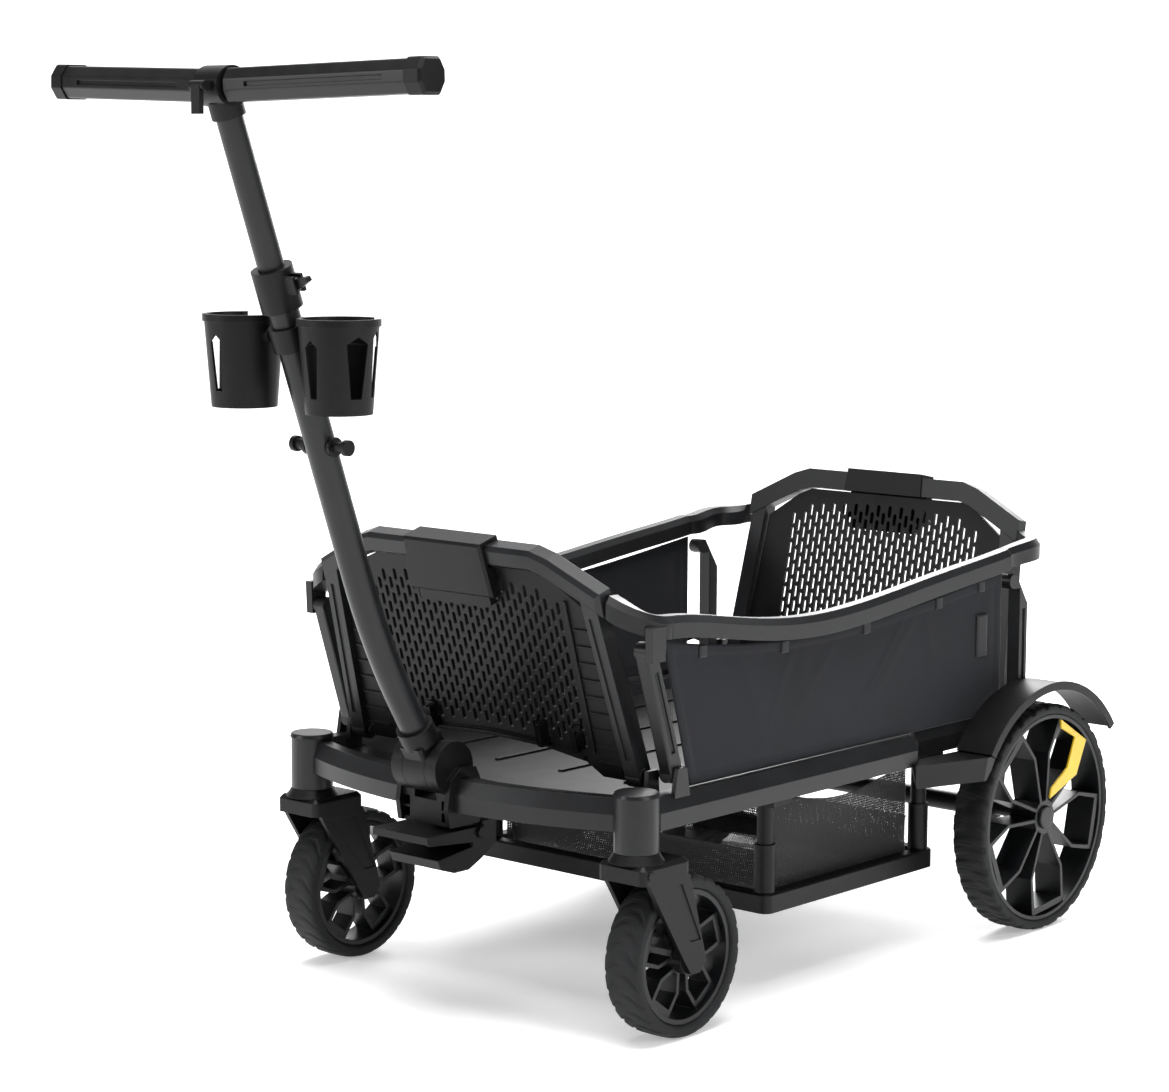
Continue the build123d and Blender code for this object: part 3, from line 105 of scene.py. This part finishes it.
def new_material(name, hex_colour, roughness, **sockets):
    """A material with its shader's constants set straight on the sockets."""
    material = bpy.data.materials.new(name)
    material.use_nodes = True
    shader = material.node_tree.nodes["Principled BSDF"]
    shader.inputs["Base Color"].default_value = linear(hex_colour)
    shader.inputs["Roughness"].default_value = roughness
    for socket, value in sockets.items():
        shader.inputs[socket.replace("_", " ")].default_value = value
    return material, shader


def mottle(material, shader, dark, light, size_mm, low, high, detail=4.0):
    """Soft colour and roughness variation: noise of about size_mm picks between two shades."""
    where = add_node(material, "ShaderNodeTexCoord").outputs["Object"]
    noise = add_node(material, "ShaderNodeTexNoise", {"Scale": 1000 / size_mm, "Detail": detail},
                     {"Vector": where})
    ramp = add_node(material, "ShaderNodeValToRGB", links={"Fac": noise.outputs["Fac"]})
    ramp.color_ramp.elements[0].color = linear(dark)
    ramp.color_ramp.elements[1].color = linear(light)
    ramp.color_ramp.elements[0].position = 0.32
    ramp.color_ramp.elements[1].position = 0.68
    rough = add_node(material, "ShaderNodeMapRange", {"To Min": low, "To Max": high},
                     {"Value": noise.outputs["Fac"]})
    material.node_tree.links.new(ramp.outputs["Color"], shader.inputs["Base Color"])
    material.node_tree.links.new(rough.outputs["Result"], shader.inputs["Roughness"])
    return where


def grain(material, shader, where, size_mm, depth_mm, strength=0.5, edge_mm=1.2):
    """Fine surface relief: noise of size_mm, as deep as depth_mm, over edges softened by edge_mm."""
    fine = add_node(material, "ShaderNodeTexNoise", {"Scale": 1000 / size_mm, "Detail": 3.0},
                    {"Vector": where})
    edge = add_node(material, "ShaderNodeBevel", {"Radius": edge_mm / 1000}, samples=4)
    bump = add_node(material, "ShaderNodeBump", {"Strength": strength, "Distance": depth_mm / 1000},
                    {"Height": fine.outputs["Fac"], "Normal": edge.outputs["Normal"]})
    material.node_tree.links.new(bump.outputs["Normal"], shader.inputs["Normal"])
    return bump

# %% [markdown]
# The tubes are steel with a baked powder coat: dark grey, satin, with the fine orange-peel that a
# powder coat leaves as it flows. The peel is about 1.5 mm wide and far shallower than a hair.

# %% Powder-coated steel
frame_paint, shader = new_material("powder_coated_steel", "#1c1d1f", 0.36, IOR=1.5, Coat_Weight=0.1,
                                   Coat_Roughness=0.3, Specular_IOR_Level=0.28)
where = mottle(frame_paint, shader, "#101012", "#161719", 60, 0.34, 0.44)
grain(frame_paint, shader, where, 1.6, 0.05, 0.25)

# %% [markdown]
# The housings, forks and brackets are glass-filled nylon, injection moulded in a spark-eroded tool.
# That gives a fine even grain that scatters light, so the black looks soft and slightly grey.

# %% Moulded nylon
black_plastic, shader = new_material("moulded_nylon", "#0a0a0b", 0.42, IOR=1.5, Specular_IOR_Level=0.22)
where = mottle(black_plastic, shader, "#070708", "#0c0c0d", 35, 0.38, 0.5)
grain(black_plastic, shader, where, 0.9, 0.06, 0.35)

# %% [markdown]
# The grips are a firm rubber-like moulding with a little more sheen, the clips polished acetal, the
# wheels satin nylon in a shade lighter than the tyres.

# %% Grips, clips and wheels
grip_rubber, shader = new_material("moulded_grip_rubber", "#0e0e0f", 0.36, IOR=1.5,
                                   Specular_IOR_Level=0.3)
where = mottle(grip_rubber, shader, "#0b0b0c", "#121213", 22, 0.32, 0.42)
grain(grip_rubber, shader, where, 0.7, 0.05, 0.3)

clip_plastic, shader = new_material("polished_acetal", "#0b0b0c", 0.16, IOR=1.48, Coat_Weight=0.3)
mottle(clip_plastic, shader, "#09090a", "#0e0e0f", 18, 0.12, 0.22)

wheel_plastic, shader = new_material("satin_wheel_nylon", "#131416", 0.36, IOR=1.5,
                                     Specular_IOR_Level=0.3)
where = mottle(wheel_plastic, shader, "#0b0c0e", "#111214", 30, 0.3, 0.42)
grain(wheel_plastic, shader, where, 1.1, 0.05, 0.25)

accent_plastic, shader = new_material("yellow_abs", "#d9b51f", 0.34, IOR=1.53)
where = mottle(accent_plastic, shader, "#d3ae1b", "#deba24", 25, 0.3, 0.4)
grain(accent_plastic, shader, where, 0.8, 0.03, 0.2)

# %% [markdown]
# Tyres are solid foamed rubber. A tyre is the darkest and mattest thing on the wagon, with pale dust
# in broad patches, so its roughness is high and varies over a few centimetres.

# %% Tyre rubber
tyre_rubber, shader = new_material("foamed_tyre_rubber", "#101112", 0.7, IOR=1.52,
                                   Specular_IOR_Level=0.3)
where = mottle(tyre_rubber, shader, "#0d0e0f", "#161719", 26, 0.6, 0.78)
grain(tyre_rubber, shader, where, 1.4, 0.15, 0.4)

# %% Give every model node its material
FINISHES = {"frame_paint": frame_paint, "black_plastic": black_plastic, "grip_rubber": grip_rubber,
            "clip_plastic": clip_plastic, "wheel_plastic": wheel_plastic, "tyre": tyre_rubber,
            "accent": accent_plastic, "fabric": black_plastic, "mesh": black_plastic}
slots = {part["node"]: part["material_slot"] for part in frame["record"]["subparts"]}
for name, thing in nodes.items():
    finish = FINISHES[slots[name]]
    if not thing.material_slots:
        thing.data.materials.append(finish)
    for socket in thing.material_slots:
        socket.material = finish
print("finished", len(nodes), "nodes")

# %% [markdown]
# New pieces are surfaces worked out on a grid of two parameters. One helper turns such a grid into
# a mesh; either direction can close on itself, as a ring or a tube does.

# %% Grid to mesh
def grid_mesh(name, points, material, close_u=False, close_v=False):
    """Quads from an array (rows, columns, 3); either direction may close on itself.

    An open sheet gets a UV map in metres: the length run along each row and each column.
    """
    rows, columns = points.shape[:2]
    u = np.arange(rows if close_u else rows - 1)
    v = np.arange(columns if close_v else columns - 1)
    a, b = np.meshgrid(u, v, indexing="ij")
    a2, b2 = (a + 1) % rows, (b + 1) % columns
    corners = [a * columns + b, a2 * columns + b, a2 * columns + b2, a * columns + b2]
    quads = np.stack(corners, -1).reshape(-1, 4)
    mesh = bpy.data.meshes.new(name)
    mesh.from_pydata(points.reshape(-1, 3).tolist(), [], quads.tolist())
    mesh.polygons.foreach_set("use_smooth", np.ones(len(mesh.polygons), bool))
    if not (close_u or close_v):
        along, across = np.zeros((rows, columns)), np.zeros((rows, columns))
        along[1:] = np.cumsum(np.linalg.norm(np.diff(points, axis=0), axis=-1), 0)
        across[:, 1:] = np.cumsum(np.linalg.norm(np.diff(points, axis=1), axis=-1), 1)
        spread = np.stack([along, across], -1).reshape(-1, 2)[quads.reshape(-1)]
        mesh.uv_layers.new(name="cloth").data.foreach_set("uv", spread.reshape(-1))
    thing = bpy.data.objects.new(name, mesh)
    thing.data.materials.append(material)
    bpy.context.scene.collection.objects.link(thing)
    return thing

# %% Give a sheet its thickness
def thicken(sheet, thickness):
    """Half of the thickness goes to each side of the sheet."""
    solid = sheet.modifiers.new("thickness", "SOLIDIFY")
    solid.thickness = thickness
    solid.offset = 0

# %% Put a piece on its body
def place(thing, body, slot, *replaced):
    """The piece rides on a body and may stand for model nodes; its slot argument is not used."""
    if replaced:
        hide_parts(*replaced)
    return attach(thing, body)

# %% [markdown]
# A tyre is a squarish ring. Its section is a superellipse: the cosine and sine of the section angle
# are raised to a power under one, which flattens the tread and the side walls and keeps the
# shoulders round. The tread pattern is then pressed into the crown as a function of the angle round
# the wheel and the place across it, so blocks and sipes stay sharp without any modelling by hand.

# %% Tyre surface
ROUND_STEPS = 720
SECTION_STEPS = 56


def smooth_step(low, high, value):
    """0 below low, 1 above high, and an S curve between them."""
    t = np.clip((value - low) / (high - low), 0, 1)
    return t * t * (3 - 2 * t)


def tyre_surface(node, rim_radius, power, tread):
    """Ring round a wheel's axle; tread(angle, across, crown) gives how deep each point is pressed in."""
    low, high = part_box(node)
    centre, width, radius = (low + high) / 2, high.y - low.y, (high.z - low.z) / 2
    turn = np.linspace(0, 2 * math.pi, ROUND_STEPS, endpoint=False)[:, None]
    section = np.linspace(0, 2 * math.pi, SECTION_STEPS, endpoint=False)[None, :]
    across = np.sign(np.cos(section)) * np.abs(np.cos(section)) ** power
    out = np.sign(np.sin(section)) * np.abs(np.sin(section)) ** power
    middle_radius = (radius + rim_radius) / 2
    crown = smooth_step(0.2, 0.75, out)
    r = middle_radius + (radius - rim_radius) / 2 * out - tread(turn, across, crown)
    y = centre.y + width / 2 * across + 0 * turn
    return np.stack([centre.x + r * np.cos(turn), y, centre.z + r * np.sin(turn)], -1)


def block_tread(turn, across, crown):
    """Cross bars in two staggered rows with a zigzag channel between them, 2.6 mm deep."""
    bars = 30
    side = np.where(across > 0, 0.5, 0.0)
    phase = (turn * bars / (2 * math.pi) + side + 0.18 * np.abs(across)) % 1
    bar_gap = 1 - smooth_step(0.12, 0.2, np.minimum(phase, 1 - phase))
    zigzag = 0.16 * np.abs(((turn * bars / (2 * math.pi)) % 1) * 2 - 1) - 0.08
    channel = 1 - smooth_step(0.05, 0.11, np.abs(across - zigzag))
    sipe = 1 - smooth_step(0.02, 0.05, np.abs(phase - 0.5))
    outer = smooth_step(0.3, 0.4, np.abs(across))
    return crown * 0.0026 * np.maximum.reduce([bar_gap * outer, channel, 0.4 * sipe * outer])


def sipe_tread(turn, across, crown):
    """Long slanting sipes that sweep back from a smooth middle band, 1.6 mm deep."""
    count = 24
    sweep = turn * count / (2 * math.pi) + 0.9 * np.abs(across) ** 1.4
    phase = (sweep + np.where(across > 0, 0.0, 0.5)) % 1
    sipe = 1 - smooth_step(0.08, 0.16, np.minimum(phase, 1 - phase))
    band = smooth_step(0.16, 0.24, np.abs(across))
    ring = 1 - smooth_step(0.03, 0.06, np.abs(np.abs(across) - 0.2))
    return crown * 0.0016 * np.maximum(sipe * band, ring)


for side in ("left", "right"):
    rear = grid_mesh(f"rear_tread_{side}",
                     tyre_surface(f"rear_tyre_{side}", REAR_RADIUS - 0.0145, 0.42, block_tread),
                     tyre_rubber, close_u=True, close_v=True)
    place(rear, f"rear_wheel_{side}", "tyre", f"rear_tyre_{side}")
    front = grid_mesh(f"front_tread_{side}",
                      tyre_surface(f"front_tyre_{side}", FRONT_RADIUS - 0.017, 0.5, sipe_tread),
                      tyre_rubber, close_u=True, close_v=True)
    place(front, f"front_wheel_{side}", "tyre", f"front_tyre_{side}")
print("tyres:", ROUND_STEPS * SECTION_STEPS, "faces each")

# %% [markdown]
# The cloth between each side rail and the chassis is a coated woven polyester, about 600 denier:
# threads near half a millimetre apart, drawn twice as coarse here so that they show. It hangs taut
# from the rail, with a folded hem all round, soft pull lines from its tabs and a slight belly.

# %% Woven polyester
THREAD_MM = 1.0
WAVES = 2 * math.pi * 1000 / THREAD_MM / 20      # the wave node's own factor of 20, per metre
polyester, shader = new_material("woven_polyester", "#1b1c20", 0.8, IOR=1.5, Sheen_Weight=0.1,
                                 Sheen_Roughness=0.4, Specular_IOR_Level=0.25)
where = mottle(polyester, shader, "#15161a", "#1b1c21", 90, 0.74, 0.86)
flat = add_node(polyester, "ShaderNodeUVMap", uv_map="cloth").outputs["UV"]
warp = add_node(polyester, "ShaderNodeTexWave", {"Scale": WAVES, "Distortion": 0.6}, {"Vector": flat},
                bands_direction="X")
weft = add_node(polyester, "ShaderNodeTexWave", {"Scale": WAVES, "Distortion": 0.6}, {"Vector": flat},
                bands_direction="Y")
weave = add_node(polyester, "ShaderNodeMath", links={0: warp.outputs["Fac"], 1: weft.outputs["Fac"]},
                 operation="MAXIMUM")
bump = add_node(polyester, "ShaderNodeBump", {"Strength": 0.35, "Distance": 0.0003},
                {"Height": weave.outputs["Value"]})
polyester.node_tree.links.new(bump.outputs["Normal"], shader.inputs["Normal"])

# %% Side cloth
CLOTH_COLUMNS = 220
CLOTH_ROWS = 70
CLOTH_THICK = 0.0012
CLOTH_LENGTH, CLOTH_HEIGHT = 0.68, 0.18      # about, to turn shares of the cloth into metres
BELLY = 0.002                # how far the middle of the cloth stands out
HEM = 0.012
HEM_THICK = 0.0009
PULL_LINES = 16


def cloth_grid(node):
    """Flat cloth between the model panel's straight foot and its curved top, as (x, z) on a grid."""
    points = np.array([v.co for v in nodes[node].data.vertices])
    low, high = points[:, 2].min(), points[:, 2].max()
    top = points[points[:, 2] > (low + high) / 2]
    top = top[np.argsort(top[:, 0])]
    curve = np.polyfit(top[:, 0], top[:, 2], 3)
    foot = points[points[:, 2] < low + 0.002]
    u = np.linspace(0, 1, CLOTH_COLUMNS)[:, None]
    v = np.linspace(0, 1, CLOTH_ROWS)[None, :]
    foot_x = foot[:, 0].min() + u * (foot[:, 0].max() - foot[:, 0].min())
    top_x = top[:, 0].min() + u * (top[:, 0].max() - top[:, 0].min())
    x = foot_x * (1 - v) + top_x * v
    z = low * (1 - v) + np.polyval(curve, top_x) * v
    return x, z, u + 0 * v, v + 0 * u


def cloth_relief(u, v, seed):
    """How far the cloth stands out: a shallow belly, pull lines fanning from the top, a raised hem."""
    random = np.random.default_rng(seed)
    edge = np.minimum(np.minimum(u, 1 - u) * CLOTH_LENGTH, np.minimum(v, 1 - v) * CLOTH_HEIGHT)
    inside = smooth_step(0.0, 0.03, edge)
    relief = BELLY * np.sin(math.pi * u) * np.sin(math.pi * v) * inside
    for line in range(PULL_LINES):
        start = random.uniform(0, 1)
        lean = random.uniform(-0.35, 0.35)
        width = random.uniform(0.008, 0.03)
        height = random.uniform(0.0002, 0.0009)
        ridge = np.exp(-((u - start - lean * (1 - v)) / width) ** 2)
        relief = relief + height * ridge * v * inside
    hem = smooth_step(0.0, 0.0015, edge) - smooth_step(HEM, HEM + 0.0015, edge)
    return relief + HEM_THICK * hem


for side, sign in (("left", 1), ("right", -1)):
    node = f"side_fabric_{side}"
    low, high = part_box(node)
    x, z, u, v = cloth_grid(node)
    y = (low.y + high.y) / 2 + sign * cloth_relief(u, v, 7)
    cloth = grid_mesh(f"side_cloth_{side}", np.stack([x, y + 0 * x, z], -1), polyester)
    thicken(cloth, CLOTH_THICK)
    place(cloth, "chassis", "fabric", node)
    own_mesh(cloth)

# %% [markdown]
# The basket is a polyester net: a tray with two low ends and two tall sides. The net's cells are
# 3.2 mm wide. Inside each cell, away from its edges, the sheet is clear, and the threads stand proud.

# %% Net
NET_MM = 3.2
THREAD_SHARE = 0.24          # half width of a thread, as a share of a cell
net, shader = new_material("polyester_net", "#131314", 0.75, IOR=1.5, Sheen_Weight=0.2)
where = mottle(net, shader, "#0f0f10", "#19191a", 60, 0.7, 0.85)
flat = add_node(net, "ShaderNodeUVMap", uv_map="cloth").outputs["UV"]
cells = add_node(net, "ShaderNodeTexVoronoi", {"Scale": 1000 / NET_MM, "Randomness": 0.25},
                 {"Vector": flat}, feature="DISTANCE_TO_EDGE", voronoi_dimensions="2D")
bump = add_node(net, "ShaderNodeBump", {"Strength": 0.9, "Distance": 0.0008},
                {"Height": cells.outputs["Distance"]})
bump.invert = True
net.node_tree.links.new(bump.outputs["Normal"], shader.inputs["Normal"])
thread = add_node(net, "ShaderNodeMath", {1: THREAD_SHARE}, {0: cells.outputs["Distance"]},
                  operation="LESS_THAN")
net.node_tree.links.new(thread.outputs["Value"], shader.inputs["Alpha"])

# %% Basket cloth
low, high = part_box("basket_mesh")
END_HEIGHT = 0.06            # how far the tray turns up at each end
TRAY_SLACK_X = 0.024         # the tray is shorter than the rim's opening by this
TRAY_SLACK_Y = 0.006
SIDE_SLACK_X = 0.034
u = np.linspace(0, 1, 120)[:, None]
v = np.linspace(0, 1, 90)[None, :]
span = high.x - low.x - TRAY_SLACK_X
tray_x = (low.x + high.x) / 2 + (u - 0.5) * span + 0 * v
end_lift = END_HEIGHT * (smooth_step(0.9, 1.0, u) + smooth_step(0.9, 1.0, 1 - u)) ** 2
ripple = 0.0012 * np.sin(9 * u * math.pi) * np.sin(5 * v * math.pi)
tray_z = low.z + 0.002 + end_lift + ripple - 0.003 * np.sin(math.pi * u) * np.sin(math.pi * v)
tray_y = (v - 0.5) * (high.y - low.y - TRAY_SLACK_Y) + 0 * u
tray = grid_mesh("basket_tray", np.stack([tray_x, tray_y, tray_z + 0 * v], -1), net)
place(tray, "chassis", "mesh", "basket_mesh")
walls = []
for sign in (-1, 1):
    wall_x = (low.x + high.x) / 2 + (u - 0.5) * (high.x - low.x - SIDE_SLACK_X) + 0 * v
    sag = 1 - 0.12 * np.sin(math.pi * u) ** 2
    wall_z = low.z + 0.001 + v * (high.z - low.z) * sag
    wall_y = sign * (high.y - 0.0015 - 0.005 * np.sin(math.pi * u) * np.sin(math.pi * v))
    wall = grid_mesh(f"basket_side_{'left' if sign > 0 else 'right'}",
                     np.stack([wall_x, wall_y + 0 * wall_x, wall_z], -1), net)
    place(wall, "chassis", "mesh")
    walls.append(wall)
for piece in [tray] + walls:
    thicken(piece, CLOTH_THICK)
print("basket cloth from", round(low.z, 3), "to", round(high.z, 3))

# %% [markdown]
# Small webbing tabs are sewn to the upper edge of the cloth, where it hangs from the rail, and a
# plain woven tag is sewn near its rear edge. Each is a strip that stands off the cloth a little and
# comes back to it at its edges.

# %% Tabs and tag
WEBBING_THICK = 0.0009
STAND_OFF = 0.0008           # from the cloth's face to the middle of the strip, at its edges


def strip_on_cloth(name, x, top, width, drop, face_y, sign, material, bulge=0.0016):
    """Small strip; it stands off by bulge times one less the sixth power of the place across."""
    a = np.linspace(-1, 1, 13)[:, None]
    b = np.linspace(0, 1, 17)[None, :]
    flat_x = x + a * width / 2 + 0 * b
    flat_z = top - b * drop + 0 * a
    off = bulge * (1 - np.abs(a) ** 6) * (1 - smooth_step(0.92, 1.0, b)) + STAND_OFF
    piece = grid_mesh(name, np.stack([flat_x, face_y + sign * off, flat_z], -1), material)
    thicken(piece, WEBBING_THICK)
    return piece


webbing, shader = new_material("nylon_webbing", "#17181b", 0.65, IOR=1.5, Sheen_Weight=0.1,
                               Specular_IOR_Level=0.35)
where = mottle(webbing, shader, "#131416", "#1a1b1e", 30, 0.58, 0.72)
grain(webbing, shader, where, 1.2, 0.2, 0.5)
TAB_PLACES = (0.655, 0.5, 0.335, 0.18, 0.085)      # ahead of the rear axle, metres
TAB_WIDTH, TAB_DROP = 0.014, 0.014
TAG_AHEAD, TAG_WIDTH, TAG_DROP = 0.083, 0.024, 0.055
TAG_BELOW = 0.045            # from the cloth's upper edge down to the tag
for side, sign in (("left", 1), ("right", -1)):
    node = f"side_fabric_{side}"
    low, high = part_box(node)
    x, z, u, v = cloth_grid(node)
    order = np.argsort(x[:, -1])
    for number, ahead in enumerate(TAB_PLACES, 1):
        place_x = REAR_AXLE_X + ahead
        top = float(np.interp(place_x, x[order, -1], z[order, -1])) - 0.001
        tab = strip_on_cloth(f"rail_tab_{side}_{number}", place_x, top, TAB_WIDTH, TAB_DROP,
                             sign * (max(abs(low.y), abs(high.y)) - 0.0005), sign, webbing)
        place(tab, "chassis", "fabric")
        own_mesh(tab)
tag_top = float(np.interp(REAR_AXLE_X + TAG_AHEAD, x[order, -1], z[order, -1])) - TAG_BELOW
tag = strip_on_cloth("side_tag", REAR_AXLE_X + TAG_AHEAD, tag_top, TAG_WIDTH, TAG_DROP,
                     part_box("side_fabric_left")[1].y, 1, webbing, 0.0012)
place(tag, "chassis", "fabric")
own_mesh(tag)
print("tabs", 2 * len(TAB_PLACES))

# %% [markdown]
# The camera stands in front and to the left of the wagon, a little above the tub, with a long lens,
# so that upright lines stay nearly upright.

# %% Camera
CAMERA_AHEAD = 3.3795        # ahead of the rear axle, metres
CAMERA_LEFT = 2.4750
CAMERA_HEIGHT = 1.0227
YAW = math.radians(221.7706)
PITCH = math.radians(-7.3068)
ROLL = math.radians(0.1725)
LENS_MM = 94.51

VIEW = Vector((math.cos(YAW) * math.cos(PITCH), math.sin(YAW) * math.cos(PITCH), math.sin(PITCH)))
camera_data = bpy.data.cameras.new("camera")
camera = bpy.data.objects.new("camera", camera_data)
bpy.context.scene.collection.objects.link(camera)
camera_data.sensor_width = 36
camera_data.lens = LENS_MM
camera_data.shift_x = 0.0226
camera_data.shift_y = -0.0050
camera.matrix_world = (Matrix.Translation((REAR_AXLE_X + CAMERA_AHEAD, CAMERA_LEFT, CAMERA_HEIGHT))
                       @ VIEW.to_track_quat("-Z", "Y").to_matrix().to_4x4()
                       @ Matrix.Rotation(ROLL, 4, "Z"))
bpy.context.scene.camera = camera

# %% [markdown]
# The setting is a white floor that curves up behind the wagon. Floor and backdrop are one surface, so
# that no horizon line shows. Its faint glow rises away from the wagon, so that the soft shadow under
# the wagon fades into plain white.

# %% Floor and backdrop
def sweep_floor(half_width=9.0, front=6.0, back=7.0, radius=2.5, rise=8.0):
    """A sheet away from the camera: flat, then a quarter circle up, then upright."""
    flat = np.stack([np.linspace(front, -back, 12), np.zeros(12)], 1)
    turn = np.linspace(0, math.pi / 2, 24)[1:]
    curve = np.stack([-back - radius * np.sin(turn), radius * (1 - np.cos(turn))], 1)
    wall = np.stack([np.full(3, -back - radius), radius + np.linspace(0.5, rise, 3)], 1)
    profile = np.concatenate([flat, curve, wall])
    across = np.linspace(-half_width, half_width, 3)
    away = Vector((-VIEW.x, -VIEW.y, 0)).normalized()
    side = Vector((-away.y, away.x, 0))
    points = profile[:, None, :1] * np.array(away) + across[None, :, None] * np.array(side)
    points[:, :, 2] = profile[:, None, 1]
    return points


GLOW_NEAR, GLOW_FAR = 0.7, 3.2      # metres from the wagon's middle, where the backdrop's own glow rises
backdrop_white, shader = new_material("white_paper_backdrop", "#f4f4f4", 0.9)
where = mottle(backdrop_white, shader, "#f2f2f2", "#f6f6f6", 400, 0.88, 0.92)
shader.inputs["Emission Color"].default_value = (1, 1, 1, 1)
reach = add_node(backdrop_white, "ShaderNodeVectorMath", links={0: where}, operation="LENGTH")
glow = add_node(backdrop_white, "ShaderNodeMapRange",
                {"From Min": GLOW_NEAR, "From Max": GLOW_FAR, "To Min": 0.34, "To Max": 0.9},
                {"Value": reach.outputs["Value"]}, interpolation_type="SMOOTHSTEP")
backdrop_white.node_tree.links.new(glow.outputs["Result"], shader.inputs["Emission Strength"])
floor = grid_mesh("backdrop", sweep_floor(), backdrop_white)

# %% [markdown]
# Light: a large soft panel above the wagon, one on its left, one ahead and to its right, one behind
# it for the rims of the tubes, and a dim even white sky so that black plastic keeps some shape.
# Black parts show their shape by what they reflect, so the panels are wide rather than strong.

# %% Lights and sky
def panel(name, spot, target, width, power):
    """A square soft light at a spot, facing a target; width in metres, power in watts."""
    data = bpy.data.lights.new(name, "AREA")
    data.size = width
    data.energy = power
    lamp = bpy.data.objects.new(name, data)
    bpy.context.scene.collection.objects.link(lamp)
    turn = (Vector(target) - Vector(spot)).to_track_quat("-Z", "Y").to_matrix().to_4x4()
    lamp.matrix_world = Matrix.Translation(spot) @ turn


panel("key", (0.3, 0.2, 3.4), (0, 0, 0.4), 2.6, 190)
panel("side", (0.2, 3.9, 2.0), (0, 0, 0.4), 1.6, 55)
panel("front", (4.2, -2.2, 1.9), (0, 0, 0.5), 1.4, 60)
panel("rim", (-2.8, -1.2, 2.2), (0, 0, 0.5), 1.6, 90)
sky = bpy.data.worlds.new("studio_sky")
bpy.context.scene.world = sky
sky.use_nodes = True
sky.node_tree.nodes["Background"].inputs["Color"].default_value = (1, 1, 1, 1)
sky.node_tree.nodes["Background"].inputs["Strength"].default_value = 0.2
bpy.context.scene.view_settings.view_transform = "Standard"
